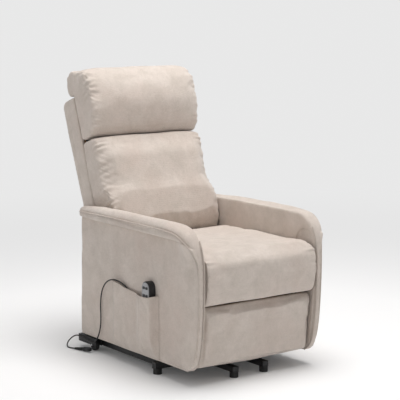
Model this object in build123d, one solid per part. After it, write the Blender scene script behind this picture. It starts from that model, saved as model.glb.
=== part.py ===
"""Power lift recliner armchair, one STEP file for each separate piece.

Millimetres, +Z up. The sitter faces -Y, so -X is the sitter's right and +X the left.
The origin lies on the floor, under the middle of the chair's outline.
A place in the side view is written (y, z). Sheet metal stands in layers along X,
mirrored about the YZ plane.
"""
import os
from math import atan2, cos, degrees, hypot, pi, radians, sin, tan

from build123d import *

# ---- Driving dimensions: body of the chair -------------------------------------------
SEAT_WIDTH = 504.0            # between the inner faces of the side panels
PANEL_THICKNESS = 30.0        # board and padded cover together
BOARD_THICKNESS = 16.0
PANEL_BOTTOM = 53.0
PANEL_TOP = 519.7
ARM_CREST = 572.0
ARM_OVERHANG = 41.0           # how far the arm pad's lip stands out past the panel
ARM_LIP = 20.0                # height of that lip
SEAT_BASE = 286.3             # underside of the seat cushion
SEAT_CROWN = 471.0
SEAT_FRONT = -476.2
PAD_GAP = 0.3                 # soft piece to its neighbour
RUNNING_CLEARANCE = 0.05      # radial, pin in a hole that turns on it

# ---- Driving dimensions: back ---------------------------------------------------------
BACK_HINGE = (103.0, 300.0)
BACK_LEAN = 19.0              # from vertical, sitting upright
BACK_HALF_WIDTH = 244.0
BACK_CUSHION_LOW = 130.0      # heights along the back, from the hinge
BACK_CUSHION_TOP = 549.0
HEADREST_TOP = 824.6
SHELL_LOW = 85.0
SHELL_TOP = 730.0
SHELL_FRONT = 70.0            # depths behind the hinge line
SHELL_REAR = 153.0
SHELL_WALL = 17.0
UPRIGHT_WIDTH = 28.0
UPRIGHT_DEPTH = 36.0

# ---- Driving dimensions: lift mechanism -----------------------------------------------
TUBE = 25.0                   # square steel tube of the base
TUBE_BOTTOM = 20.0            # height of the base tubes over the floor
LEG_TUBE_HEIGHT = 20.0
BASE_FRONT_Y = -197.0         # middles of the base's cross tubes
BASE_REAR_Y = 243.0
SIDE_RAIL_X = 235.0
CENTRE_RAIL_X = 68.0
BASE_TOE_Y = -407.0
FOOT_RADIUS = 16.0
LIFT_ARM_FOOT = (-197.0, 95.0)
LIFT_ARM_HEAD = (188.0, 108.0)
LINK_FOOT = (-175.1, 75.8)
LINK_HEAD = (243.0, 70.0)
LINK_HEAD_PLAY = 2.0          # open pivot: extra hole radius for its path
TORQUE_TUBE_RADIUS = 14.0
TORQUE_TUBE_WALL = 3.0
ARM_HALF_WIDTH = 12.0
LINK_HALF_WIDTH = 11.5
ARM_PIN_RADIUS = 6.0
PIN_RADIUS = 5.0

# ---- Driving dimensions: leg rest -----------------------------------------------------
DRIVE_PIVOT = (-376.9, 197.1)
DRIVE_END = (-261.0, 62.3)
CARRIER_END = (-384.1, 259.1)
LEG_LINK_HALF_WIDTH = 11.0
DRIVE_TUBE_RADIUS = 10.0
DRIVE_TUBE_WALL = 2.5
TUBE_BRACKET_LAYER = (196.0, 201.0)
FOOTREST_TOP = 281.0
FOOTREST_BOTTOM = 53.0
FOOTREST_TOP_Y = -449.0       # front face, at its top and bottom edges
FOOTREST_BOTTOM_Y = -424.0
FOOTREST_DEPTH = 46.0
FOOTREST_BOARD = 15.0

# ---- Driving dimensions: motors -------------------------------------------------------
LIFT_MOTOR_FOOT = (215.0, 75.0)
LIFT_LEVER_LENGTH = 60.0
LIFT_ROD_PLAY = 6.8           # open pivot in the rod's eye
BACK_MOTOR_FOOT = (-147.0, 220.0)
BACK_LEVER_END = (187.9, 230.0)
BACK_ROD_PLAY = 3.4           # open pivot in the rod's eye
BACK_MOTOR_X = -110.0
LEG_MOTOR_X = 120.0
LEG_PIN_DROP = 30.0           # height of the leg motor's rod below the drive tube
LEG_PIN_LEAD = 32.55          # rod pin behind the drive tube, leg rest closed
LEG_PIN_RADIUS = 4.0
LEG_SLOT_PLAY = 2.4           # open pivot: side play of that pin in the lever's slot
ROD_RADIUS = 9.0
EYE_WIDTH = 2 * ROD_RADIUS + 1.0  # the shaft stays clear of the cheeks
GEARBOX = (44.0, 66.0, 50.0)  # width, length, height

# ---- Driving dimensions: wheels, handset and cord -------------------------------------
WHEEL_RADIUS = 23.0
WHEEL_WIDTH = 16.0
WHEEL_Y = 227.0
CHANNEL_X = 270.0
CHANNEL_WIDTH = 28.0
CHANNEL_WALL = 2.5
CHANNEL_TOP = 50.0
CHANNEL_REAR_Y = 325.0
AXLE_RADIUS = 4.0
HANDSET_WIDTH = 50.0
HANDSET_DEPTH = 26.0
HANDSET_BOTTOM = 190.0
HANDSET_TOP = 344.0
HANDSET_Y = -185.0
FACE_PLATE = 2.0
BUTTON = (13.0, 9.0)          # width, height
BUTTON_PROUD = 1.4
BUTTON_TRAVEL = 1.2
BUTTON_CLEARANCE = 0.3
POCKET_WALL = 3.0
CORD_DIAMETER = 5.0
CORD_BEND_SHARE = 0.45

# ---- Layers along X, worked out from the seat's width outwards and inwards ------------
PANEL_IN = SEAT_WIDTH / 2
BOARD_OUT = PANEL_IN + BOARD_THICKNESS
PANEL_OUT = PANEL_IN + PANEL_THICKNESS
SHEET = 4.0                   # mechanism plates and leg-rest links
PLATE = (PANEL_IN - SHEET, PANEL_IN)
LAYER_GAP = 4.0
CARRIER_LAYER = (PLATE[0] - LAYER_GAP - SHEET, PLATE[0] - LAYER_GAP)
DRIVE_LAYER = (CARRIER_LAYER[0] - 2.0 - SHEET, CARRIER_LAYER[0] - 2.0)
FOOT_BRACKET_LAYER = (DRIVE_LAYER[0] - 2.0 - SHEET, DRIVE_LAYER[0] - 2.0)
HINGE_LAYER = (PLATE[0] - 3.5, PLATE[0] - 0.5)
LINK_LAYER = (PLATE[0] - 25.0, PLATE[0] - 19.0)
ARM_LAYER = (LINK_LAYER[0] - 8.0, LINK_LAYER[0] - 2.0)
BRACKET_LAYER = (ARM_LAYER[0] - 6.0, ARM_LAYER[0] - 2.0)
SEAT_RAIL_WIDTH = 20.0
SEAT_RAIL_IN = PLATE[0] - SEAT_RAIL_WIDTH
CUSHION_HALF_WIDTH = HINGE_LAYER[0] - 1.0
SEAT_RAIL_TOP = SEAT_BASE - PAD_GAP - 2.0
WEBBING_THICKNESS = 2.0
CUSHION_REAR = SHELL_FRONT - WEBBING_THICKNESS - PAD_GAP


# ---- Shared shapes --------------------------------------------------------------------
def block(x, y, z):
    """Box between the two limits given for each axis."""
    middle = [(low + high) / 2 for low, high in (x, y, z)]
    return Pos(*middle) * Box(x[1] - x[0], y[1] - y[0], z[1] - z[0])


def rod_x(x, place, radius):
    """Round bar along X between two limits, at (y, z)."""
    bar = Rot(0, 90, 0) * Cylinder(radius, x[1] - x[0])
    return Pos((x[0] + x[1]) / 2, *place) * bar


def outline(points):
    """Closed face from (a, b, corner radius) points."""
    path = FilletPolyline(*[(a, b) for a, b, _ in points],
                          radius=[r for _, _, r in points], close=True)
    return make_face(path.edges())


def side_solid(points, x):
    """Side-view outline carried along X between two limits."""
    face = Plane.YZ.offset(x[0]) * outline(points)
    return extrude(face, amount=x[1] - x[0], dir=(1, 0, 0))


def front_solid(points, y):
    """Front-view (x, z) outline carried along Y between two limits."""
    face = Plane.XZ.offset(-y[0]) * outline(points)
    return extrude(face, amount=y[1] - y[0], dir=(0, 1, 0))


def plan_solid(points, z):
    """Plan-view (x, y) outline carried along Z between two limits."""
    face = Plane.XY.offset(z[0]) * outline(points)
    return extrude(face, amount=z[1] - z[0], dir=(0, 0, 1))


def link_plate(layer, start, end, half_width, start_hole=0.0, end_hole=0.0):
    """Round-ended bar between two pivots, with a hole at either end."""
    span = (end[0] - start[0], end[1] - start[1])
    middle = ((start[0] + end[0]) / 2, (start[1] + end[1]) / 2)
    turn = degrees(atan2(span[1], span[0]))
    flat = Pos(*middle) * Rot(0, 0, turn) * SlotCenterToCenter(hypot(*span), 2 * half_width)
    for place, hole in ((start, start_hole), (end, end_hole)):
        if hole:
            flat -= Pos(*place) * Circle(hole)
    return extrude(Plane.YZ.offset(layer[0]) * flat, amount=layer[1] - layer[0], dir=(1, 0, 0))


def group(*solids):
    """Separate solids kept together in one node."""
    return Compound(children=[one for item in solids for one in item.solids()])


def both_sides(solid):
    """A piece and its mirror image on the chair's other side."""
    return group(solid, mirror(solid, about=Plane.YZ))


def cheeks(x, half_gap, thickness, shape):
    """Two plates either side of x, made by shape(layer)."""
    near = (x + half_gap, x + half_gap + thickness)
    far = (x - half_gap - thickness, x - half_gap)
    return [shape(near), shape(far)]


def on_back(solid):
    """Places a piece drawn upright (depth along Y, height along Z) on the leaning back."""
    return Pos(0, *BACK_HINGE) * Rot(-BACK_LEAN, 0, 0) * solid


def back_point(depth, height):
    """Side-view place of a point given by depth and height along the back."""
    lean = radians(BACK_LEAN)
    return (BACK_HINGE[0] + depth * cos(lean) + height * sin(lean),
            BACK_HINGE[1] - depth * sin(lean) + height * cos(lean))


# ---- Base -----------------------------------------------------------------------------
TUBE_TOP = TUBE_BOTTOM + TUBE
HALF = TUBE / 2
FRONT_TUBE = (BASE_FRONT_Y - HALF, BASE_FRONT_Y + HALF)
REAR_TUBE = (BASE_REAR_Y - HALF, BASE_REAR_Y + HALF)
CHANNEL_IN = CHANNEL_X - CHANNEL_WIDTH / 2
CHANNEL_OUT = CHANNEL_X + CHANNEL_WIDTH / 2
MOTOR_HALF_GAP = EYE_WIDTH / 2 + PAD_GAP
CHEEK = 5.0


def base_cross_tubes():
    height = (TUBE_BOTTOM, TUBE_TOP)
    front = block((-PANEL_OUT, PANEL_OUT), FRONT_TUBE, height)
    rear = block((-CHANNEL_IN, CHANNEL_IN), REAR_TUBE, height)
    return group(front, rear)


def base_rails():
    between = (FRONT_TUBE[1], REAR_TUBE[0])
    side = block((SIDE_RAIL_X - HALF, SIDE_RAIL_X + HALF), between, (TUBE_BOTTOM, TUBE_TOP))
    centre_x = (CENTRE_RAIL_X - HALF, CENTRE_RAIL_X + HALF)
    centre = block(centre_x, between, (TUBE_BOTTOM, TUBE_TOP))
    toe = block(centre_x, (BASE_TOE_Y, FRONT_TUBE[0]), (TUBE_BOTTOM, TUBE_BOTTOM + LEG_TUBE_HEIGHT))
    return group(both_sides(side), both_sides(centre), both_sides(toe))


def foot_pads():
    outer = Pos(PANEL_OUT - FOOT_RADIUS, BASE_FRONT_Y, TUBE_BOTTOM / 2)
    toe = Pos(CENTRE_RAIL_X, BASE_TOE_Y + HALF, TUBE_BOTTOM / 2)
    pad = Cylinder(FOOT_RADIUS, TUBE_BOTTOM)
    return group(both_sides(outer * pad), both_sides(toe * pad))


def wheel_channels():
    """Upturned channels that carry the rear wheels, on the ends of the rear cross tube."""
    front = WHEEL_Y - WHEEL_RADIUS - 5.0
    length = (front, CHANNEL_REAR_Y)
    skirt = 2.0
    shell = block((CHANNEL_IN, CHANNEL_OUT), length, (TUBE_BOTTOM + skirt, CHANNEL_TOP))
    inside = block((CHANNEL_IN + CHANNEL_WALL, CHANNEL_OUT - CHANNEL_WALL),
                   (front - 1, CHANNEL_REAR_Y - CHANNEL_WALL), (0, CHANNEL_TOP - CHANNEL_WALL))
    shell = shell - inside - rod_x((CHANNEL_IN - 1, CHANNEL_OUT + 1), WHEEL_CENTRE, AXLE_RADIUS)
    return both_sides(shell)


WHEEL_CENTRE = (WHEEL_Y, WHEEL_RADIUS)


def wheel(side):
    tread = fillet(Cylinder(WHEEL_RADIUS, WHEEL_WIDTH).edges(), 2.5)
    tread -= Cylinder(AXLE_RADIUS + RUNNING_CLEARANCE, 2 * WHEEL_WIDTH)
    return Pos(side * CHANNEL_X, *WHEEL_CENTRE) * Rot(0, 90, 0) * tread


def lift_pivot_brackets():
    """Plates on the front cross tube that hold the torque tube and the link's foot pin."""
    y, z = LIFT_ARM_FOOT
    points = [(FRONT_TUBE[0], TUBE_TOP, 0), (y - 24, z + 10, 18), (y, z + 26, 14),
              (y + 34, z - 2, 10), (y + 36, TUBE_TOP, 0)]
    plate = side_solid(points, BRACKET_LAYER)
    plate -= rod_x((0, 300), LIFT_ARM_FOOT, TORQUE_TUBE_RADIUS + RUNNING_CLEARANCE)
    return both_sides(plate)


def lift_motor_bracket():
    y, z = LIFT_MOTOR_FOOT
    points = [(y - 12, z - 12, 6), (y - 12, z + 13, 8), (y + 14, z + 13, 6),
              (REAR_TUBE[1], TUBE_TOP + 4, 1), (REAR_TUBE[1], TUBE_TOP, 0),
              (REAR_TUBE[0], TUBE_TOP, 0), (REAR_TUBE[0], TUBE_BOTTOM + 8, 0),
              (REAR_TUBE[0] - 4, TUBE_BOTTOM + 8, 1)]
    plates = cheeks(0, MOTOR_HALF_GAP, CHEEK, lambda layer: side_solid(points, layer))
    hole = rod_x((-30, 30), LIFT_MOTOR_FOOT, PIN_RADIUS)
    return group(*[plate - hole for plate in plates])


def base_pins():
    """Wheel axles, the links' foot pins and the lift motor's pin."""
    axle = rod_x((CHANNEL_IN, CHANNEL_OUT + 2), WHEEL_CENTRE, AXLE_RADIUS)
    foot = rod_x((BRACKET_LAYER[1], LINK_LAYER[1] + 1.0), LINK_FOOT, PIN_RADIUS)
    motor = rod_x((-18, 18), LIFT_MOTOR_FOOT, PIN_RADIUS)
    return group(both_sides(axle), both_sides(foot), motor)


# ---- Lift arms and links --------------------------------------------------------------
LIFT_LEVER_END = (LIFT_ARM_FOOT[0], LIFT_ARM_FOOT[1] + LIFT_LEVER_LENGTH)
LEVER_BOSS = TORQUE_TUBE_RADIUS + 8.0
LEVER_TIP = 13.0


def lift_arms():
    hole = ARM_PIN_RADIUS + RUNNING_CLEARANCE
    return both_sides(link_plate(ARM_LAYER, LIFT_ARM_FOOT, LIFT_ARM_HEAD, ARM_HALF_WIDTH, 0, hole))


def lift_torque_tube():
    length = (-ARM_LAYER[0], ARM_LAYER[0])
    tube = rod_x(length, LIFT_ARM_FOOT, TORQUE_TUBE_RADIUS)
    return tube - rod_x(length, LIFT_ARM_FOOT, TORQUE_TUBE_RADIUS - TORQUE_TUBE_WALL)


def tapered_lever(layer, boss, tip, boss_radius, tip_radius):
    """Lever plate: a round boss and a round tip joined by a straight web."""
    web = link_plate(layer, boss, tip, tip_radius)
    return web + rod_x(layer, boss, boss_radius)


def lift_lever():
    """Two cheeks on the torque tube and the pin between them that the rod's eye hangs on."""
    plates = cheeks(0, MOTOR_HALF_GAP, CHEEK, lambda layer: tapered_lever(
        layer, LIFT_ARM_FOOT, LIFT_LEVER_END, LEVER_BOSS, LEVER_TIP))
    tube = rod_x((-30, 30), LIFT_ARM_FOOT, TORQUE_TUBE_RADIUS)
    pin = rod_x((-18, 18), LIFT_LEVER_END, PIN_RADIUS)
    return group(*[plate - tube - pin for plate in plates], pin)


def lift_links():
    foot_hole = PIN_RADIUS + RUNNING_CLEARANCE
    head_hole = PIN_RADIUS + LINK_HEAD_PLAY
    link = link_plate(LINK_LAYER, LINK_FOOT, LINK_HEAD, LINK_HALF_WIDTH, foot_hole, head_hole)
    return both_sides(link)


# ---- Linear motors --------------------------------------------------------------------
# Drawn with the rear pivot at the origin and the rod along +Y, then turned into place.
GEARBOX_START = 17.0
GEARBOX_END = GEARBOX_START + GEARBOX[1]
BODY_TUBE_RADIUS = 17.0
CAN_RADIUS = 20.0
CAN_LENGTH = 105.0
BORE_RADIUS = ROD_RADIUS + RUNNING_CLEARANCE


def motor_housing(tube_end, can_side):
    """Gearbox, screw tube and, beside it, the motor's can; can_side is +1 above or -1 below."""
    eye = Rot(0, 90, 0) * Cylinder(14, EYE_WIDTH)
    neck = block((-EYE_WIDTH / 2, EYE_WIDTH / 2), (0, GEARBOX_START), (-12, 12))
    low, high = sorted((-can_side * GEARBOX[2] / 2, can_side * (GEARBOX[2] / 2 + 18)))
    box = block((-GEARBOX[0] / 2, GEARBOX[0] / 2), (GEARBOX_START, GEARBOX_END), (low, high))
    box = fillet(box.edges().filter_by(Axis.Y), 6)
    middle = (GEARBOX_END + tube_end) / 2
    tube = Pos(0, middle, 0) * Rot(90, 0, 0) * Cylinder(BODY_TUBE_RADIUS, tube_end - GEARBOX_END)
    body = eye + neck + box + tube
    body -= Rot(0, 90, 0) * Cylinder(PIN_RADIUS + RUNNING_CLEARANCE, 2 * EYE_WIDTH)
    bore_start = GEARBOX_END + 4
    bore = Rot(90, 0, 0) * Cylinder(BORE_RADIUS, tube_end - bore_start)
    body -= Pos(0, (bore_start + tube_end) / 2, 0) * bore
    can_height = can_side * (BODY_TUBE_RADIUS + CAN_RADIUS + 2)
    can = Rot(90, 0, 0) * fillet(Cylinder(CAN_RADIUS, CAN_LENGTH).edges(), 3)
    can = Pos(0, GEARBOX_END + CAN_LENGTH / 2, can_height) * can
    return group(body, can)


def motor_rod(start, length, eye_hole):
    """Rod from inside the housing to an eye, whose centre is length from the rear pivot."""
    eye_radius = eye_hole + 5.5
    shaft_end = length - eye_radius + 1
    shaft = Rot(90, 0, 0) * Cylinder(ROD_RADIUS, shaft_end - start)
    shaft = Pos(0, (start + shaft_end) / 2, 0) * shaft
    eye = Pos(0, length, 0) * Rot(0, 90, 0) * Cylinder(eye_radius, EYE_WIDTH)
    hole = Pos(0, length, 0) * Rot(0, 90, 0) * Cylinder(eye_hole, 2 * EYE_WIDTH)
    return shaft + eye - hole


def aimed(solid, x, foot, target):
    """Turns a motor piece so that its rod points from its foot to its target."""
    turn = degrees(atan2(target[1] - foot[1], target[0] - foot[0]))
    return Pos(x, *foot) * Rot(turn, 0, 0) * solid


def span_between(start, end):
    return hypot(end[0] - start[0], end[1] - start[1])


LIFT_SPAN = span_between(LIFT_MOTOR_FOOT, LIFT_LEVER_END)
BACK_SPAN = span_between(BACK_MOTOR_FOOT, BACK_LEVER_END)
LIFT_TUBE_END = LIFT_SPAN - 105.0
BACK_TUBE_END = BACK_SPAN - 87.0
LEG_ROD_HEIGHT = DRIVE_PIVOT[1] - LEG_PIN_DROP
LEG_PIN_Y = DRIVE_PIVOT[0] + LEG_PIN_LEAD
LEG_MOTOR_FOOT = (LEG_PIN_Y + 302.0, LEG_ROD_HEIGHT)
LEG_TUBE_END = 262.0


def lift_motor_housing():
    solid = motor_housing(LIFT_TUBE_END, -1)
    return aimed(solid, 0, LIFT_MOTOR_FOOT, LIFT_LEVER_END)


def lift_motor_rod():
    rod = motor_rod(LIFT_TUBE_END - 120, LIFT_SPAN, PIN_RADIUS + LIFT_ROD_PLAY)
    return aimed(rod, 0, LIFT_MOTOR_FOOT, LIFT_LEVER_END)


def back_motor_housing():
    solid = motor_housing(BACK_TUBE_END, -1)
    return aimed(solid, BACK_MOTOR_X, BACK_MOTOR_FOOT, BACK_LEVER_END)


def back_motor_rod():
    rod = motor_rod(BACK_TUBE_END - 90, BACK_SPAN, PIN_RADIUS + BACK_ROD_PLAY)
    return aimed(rod, BACK_MOTOR_X, BACK_MOTOR_FOOT, BACK_LEVER_END)


def leg_motor_housing():
    ahead = (LEG_MOTOR_FOOT[0] - 100, LEG_MOTOR_FOOT[1])
    return aimed(motor_housing(LEG_TUBE_END, -1), LEG_MOTOR_X, LEG_MOTOR_FOOT, ahead)


LEVER_LAYER = (LEG_MOTOR_X - 13.0, LEG_MOTOR_X - 7.0)


def leg_motor_rod():
    """Rod with a block beside the slotted lever and the pin that runs in the slot."""
    tail = LEG_MOTOR_FOOT[0] - LEG_TUBE_END + 80
    bar = Rot(90, 0, 0) * Cylinder(ROD_RADIUS, tail - LEG_PIN_Y)
    bar = Pos(LEG_MOTOR_X, (tail + LEG_PIN_Y) / 2, LEG_ROD_HEIGHT) * bar
    head = block((LEVER_LAYER[1] + 1, LEG_MOTOR_X + 6), (LEG_PIN_Y - 9, LEG_PIN_Y + 26),
                 (LEG_ROD_HEIGHT - 9, LEG_ROD_HEIGHT + 9))
    clear = block((LEVER_LAYER[0] - 9, LEVER_LAYER[1] + 1), (LEG_PIN_Y - 40, LEG_PIN_Y + 26),
                  (LEG_ROD_HEIGHT - 20, LEG_ROD_HEIGHT + 20))
    pin = rod_x((LEVER_LAYER[0] - 1, LEG_MOTOR_X), (LEG_PIN_Y, LEG_ROD_HEIGHT), LEG_PIN_RADIUS)
    return (bar - clear) + head + pin


# ---- Seat frame and its fittings ------------------------------------------------------
SEAT_RAIL_HEIGHT = 44.0
SEAT_RAIL_LOW = SEAT_RAIL_TOP - SEAT_RAIL_HEIGHT
RAIL_FRONT_Y = -335.0
RAIL_REAR_Y = 85.0
MID_RAIL_LOW = SEAT_RAIL_TOP - 29.0


def mechanism_plates():
    """Steel plates on the boards' inner faces, which every link and hinge is pinned to."""
    y, z = BACK_HINGE
    points = [(RAIL_FRONT_Y, SEAT_RAIL_LOW - 20, 14), (RAIL_FRONT_Y, SEAT_RAIL_TOP, 6),
              (y - 26, SEAT_RAIL_TOP, 10), (y - 14, z + 16, 12), (y + 14, z + 16, 12),
              (y + 24, SEAT_RAIL_TOP, 10), (LINK_HEAD[0] + 24, SEAT_RAIL_TOP, 10),
              (LINK_HEAD[0] + 24, PANEL_BOTTOM + 3, 10), (LIFT_ARM_HEAD[0] - 20, PANEL_BOTTOM + 3, 10),
              (y + 20, SEAT_RAIL_LOW - 40, 30)]
    plate = side_solid(points, PLATE)
    pivots = ((BACK_HINGE, ARM_PIN_RADIUS), (LIFT_ARM_HEAD, ARM_PIN_RADIUS), (LINK_HEAD, PIN_RADIUS))
    for place, radius in pivots:
        plate -= rod_x((PLATE[0] - 1, PLATE[1] + 1), place, radius)
    return both_sides(plate)


def chassis_pivot_pins():
    """Pins fixed in the mechanism plates, and the back motor's rear pin."""
    arm = rod_x((ARM_LAYER[0] - 1.0, PLATE[1]), LIFT_ARM_HEAD, ARM_PIN_RADIUS)
    link = rod_x((LINK_LAYER[0] - 1.0, PLATE[1]), LINK_HEAD, PIN_RADIUS)
    hinge = rod_x((HINGE_LAYER[0] - 0.5, PLATE[1]), BACK_HINGE, ARM_PIN_RADIUS)
    motor = rod_x((BACK_MOTOR_X - 18, BACK_MOTOR_X + 18), BACK_MOTOR_FOOT, PIN_RADIUS)
    return group(both_sides(arm), both_sides(link), both_sides(hinge), motor)


def seat_frame_rails():
    """Two wooden side rails and the three cross rails between them."""
    height = (SEAT_RAIL_LOW, SEAT_RAIL_TOP)
    side = block((SEAT_RAIL_IN, PLATE[0]), (RAIL_FRONT_Y, RAIL_REAR_Y), height)
    across = (-SEAT_RAIL_IN, SEAT_RAIL_IN)
    front = block(across, (RAIL_FRONT_Y, RAIL_FRONT_Y + TUBE), height)
    middle = block(across, (BACK_MOTOR_FOOT[0] - HALF, BACK_MOTOR_FOOT[0] + HALF),
                   (MID_RAIL_LOW, SEAT_RAIL_TOP))
    rear = block(across, (RAIL_REAR_Y - TUBE, RAIL_REAR_Y), (MID_RAIL_LOW + 4, SEAT_RAIL_TOP))
    return group(both_sides(side), front, middle, rear)


def seat_webbing():
    """Elastic bands stretched over the cross rails, under the cushion."""
    count, width, pitch = 5, 50.0, 86.0
    height = (SEAT_RAIL_TOP, SEAT_RAIL_TOP + WEBBING_THICKNESS)
    bands = []
    for index in range(count):
        x = (index - (count - 1) / 2) * pitch
        bands.append(block((x - width / 2, x + width / 2), (RAIL_FRONT_Y, RAIL_REAR_Y), height))
    return group(*bands)


def chassis_rear_tube():
    """Cross tube that ties the two mechanism plates together at the rear."""
    return rod_x((-PLATE[0], PLATE[0]), (LINK_HEAD[0] - 8, 150), 12)


def motor_brackets():
    """Cheeks under the middle rail: a clevis for the back motor, side plates for the leg motor."""
    y, z = BACK_MOTOR_FOOT
    clevis = [(y - HALF, MID_RAIL_LOW, 0), (y - HALF, z - 12, 6), (y + HALF, z - 12, 6),
              (y + HALF, MID_RAIL_LOW, 0)]
    plates = cheeks(BACK_MOTOR_X, MOTOR_HALF_GAP, CHEEK, lambda layer: side_solid(clevis, layer))
    hole = rod_x((BACK_MOTOR_X - 30, BACK_MOTOR_X + 30), BACK_MOTOR_FOOT, PIN_RADIUS)
    box = (LEG_MOTOR_FOOT[0] - GEARBOX_END, LEG_MOTOR_FOOT[0] - GEARBOX_START)
    hanger = [(y - HALF, MID_RAIL_LOW, 0), (box[0] + 4, LEG_ROD_HEIGHT + 20, 8),
              (box[0] + 4, LEG_ROD_HEIGHT - 18, 4), (box[1] - 4, LEG_ROD_HEIGHT - 18, 4),
              (box[1] - 4, LEG_ROD_HEIGHT + 20, 8), (y + HALF, MID_RAIL_LOW, 0)]
    sides = cheeks(LEG_MOTOR_X, GEARBOX[0] / 2, SHEET, lambda layer: side_solid(hanger, layer))
    return group(*[plate - hole for plate in plates], *sides)


def control_box():
    y = BACK_MOTOR_FOOT[0]
    case = block((-70, 60), (y - 83, y + 27), (MID_RAIL_LOW - 33, MID_RAIL_LOW))
    return fillet(case.edges().filter_by(Axis.Z), 8)


# ---- Upholstered body -----------------------------------------------------------------
PANEL_REAR_LOW_Y = 313.0
PANEL_REAR_TOP_Y = 298.0
PANEL_PROFILE = [
    (PANEL_REAR_LOW_Y, PANEL_BOTTOM, 6), (PANEL_REAR_TOP_Y, PANEL_TOP, 4), (-424, PANEL_TOP, 4),
    (-462, 492, 40), (-477, 442, 60), (-478, 350, 200), (-466, 180, 300), (-457, PANEL_BOTTOM, 40)]
COVER_WRAP = 14.0             # padding that the cover carries round the board's front edge
APRON_TOP = 222.0
APRON = (286.0, 301.0)


def board_profile():
    """The panel's outline with its front set back under the padding."""
    return [(y + COVER_WRAP if y < 0 else y, z, r) for y, z, r in PANEL_PROFILE]


def side_boards():
    return both_sides(side_solid(board_profile(), (PANEL_IN, BOARD_OUT)))


def side_panel(side):
    cover = side_solid(PANEL_PROFILE, (PANEL_IN, PANEL_OUT))
    cover -= side_solid(board_profile(), (PANEL_IN - 1, BOARD_OUT))
    return cover if side > 0 else mirror(cover, about=Plane.YZ)


def arm_pad(side):
    """Padded arm with an outer lip, full width in front and drawn to a point at the rear."""
    inner = PANEL_IN - 5.6
    tip = PANEL_OUT + ARM_OVERHANG
    under = PANEL_TOP + PAD_GAP
    section = [(inner, 478, 2), (inner, ARM_CREST - 2, 10), (PANEL_OUT - 4, ARM_CREST + 1, 50),
               (tip, ARM_CREST - 24, 14), (tip - 2, under + 2, 8), (PANEL_IN - PAD_GAP, under, 0),
               (PANEL_IN - PAD_GAP, 478, 0)]
    plan = [(inner - 1, 321, 0), (PANEL_OUT + 6, 321, 6), (tip + 1, 110, 80), (tip + 1, -441, 34),
            (inner - 1, -441, 0)]
    profile = [(322, 470, 0), (322, 552, 8), (118, ARM_CREST + 1, 300), (-376, ARM_CREST + 1, 60),
               (-441, 540, 30), (-441, 470, 0)]
    solid = front_solid(section, (-441, 322))
    solid = solid & plan_solid(plan, (460, 600)) & side_solid(profile, (inner - 2, tip + 2))
    return solid if side > 0 else mirror(solid, about=Plane.YZ)


def seat_cushion():
    front = SEAT_FRONT
    points = [(RAIL_REAR_Y + 15, SEAT_BASE, 6), (RAIL_REAR_Y + 15, 457, 20), (-120, SEAT_CROWN + 3, 200),
              (-420, SEAT_CROWN, 60), (front - 3, 448, 40), (front, 385, 90),
              (front + 14, SEAT_BASE + 8, 14), (front + 40, SEAT_BASE, 10)]
    return side_solid(points, (-CUSHION_HALF_WIDTH, CUSHION_HALF_WIDTH))


def rear_apron():
    """Covered board that closes the back of the body below the seat."""
    return block((-PANEL_IN, PANEL_IN), APRON, (PANEL_BOTTOM + 7, APRON_TOP))


# ---- Back -----------------------------------------------------------------------------
BOTTOM_RAIL = (80.0, 58.0)    # depth, height of the bottom rail's middle
RAIL_HALF = 12.0
SHELL_INNER = BACK_HALF_WIDTH - SHELL_WALL


def back_uprights():
    x = (SHELL_INNER - PAD_GAP - UPRIGHT_WIDTH, SHELL_INNER - PAD_GAP)
    depth = (SHELL_FRONT, SHELL_FRONT + UPRIGHT_DEPTH)
    height = (BOTTOM_RAIL[1] + RAIL_HALF, SHELL_TOP - 40)
    return on_back(both_sides(block(x, depth, height)))


def back_cross_rails():
    """Bottom rail out to the hinge plates, and a middle and a top rail between the uprights."""
    reach = SHELL_INNER - PAD_GAP - UPRIGHT_WIDTH
    depth = (BOTTOM_RAIL[0] - RAIL_HALF, BOTTOM_RAIL[0] + RAIL_HALF)
    low = block((-HINGE_LAYER[0], HINGE_LAYER[0]), depth,
                (BOTTOM_RAIL[1] - RAIL_HALF, BOTTOM_RAIL[1] + RAIL_HALF))
    rails = [low]
    for height in (340.0, SHELL_TOP - 70):
        rails.append(block((-reach, reach), (SHELL_FRONT + 4, SHELL_FRONT + 28),
                           (height, height + 30)))
    return on_back(group(*rails))


def back_hinge_plates():
    plate = link_plate(HINGE_LAYER, BACK_HINGE, back_point(*BOTTOM_RAIL), 17,
                       ARM_PIN_RADIUS + RUNNING_CLEARANCE)
    return both_sides(plate)


def back_webbing():
    count, width = 6, 45.0
    low, high = 150.0, 620.0
    reach = SHELL_INNER - PAD_GAP
    depth = (SHELL_FRONT - WEBBING_THICKNESS, SHELL_FRONT)
    bands = []
    for index in range(count):
        height = low + index * (high - low) / (count - 1)
        bands.append(block((-reach, reach), depth, (height, height + width)))
    return on_back(group(*bands))


def back_cushion():
    rear = CUSHION_REAR
    points = [(-28, BACK_CUSHION_LOW, 20), (-58, 178, 40), (-62, 262, 60), (-44, 350, 90),
              (-42, BACK_CUSHION_TOP, 30), (rear, BACK_CUSHION_TOP, 6), (rear, BACK_CUSHION_LOW, 6)]
    return on_back(side_solid(points, (-BACK_HALF_WIDTH, BACK_HALF_WIDTH)))


def headrest():
    low = BACK_CUSHION_TOP + 4
    points = [(-20, low, 14), (-58, low + 22, 40), (-72, low + 110, 90), (-66, HEADREST_TOP - 62, 60),
              (-30, HEADREST_TOP - 8, 40), (14, HEADREST_TOP + 1, 60), (62, HEADREST_TOP - 10, 50),
              (100, HEADREST_TOP - 45, 40), (102, SHELL_TOP + 4, 8), (CUSHION_REAR, SHELL_TOP + 4, 4),
              (CUSHION_REAR, low, 6)]
    return on_back(side_solid(points, (-BACK_HALF_WIDTH - 2, BACK_HALF_WIDTH + 2)))


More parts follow.
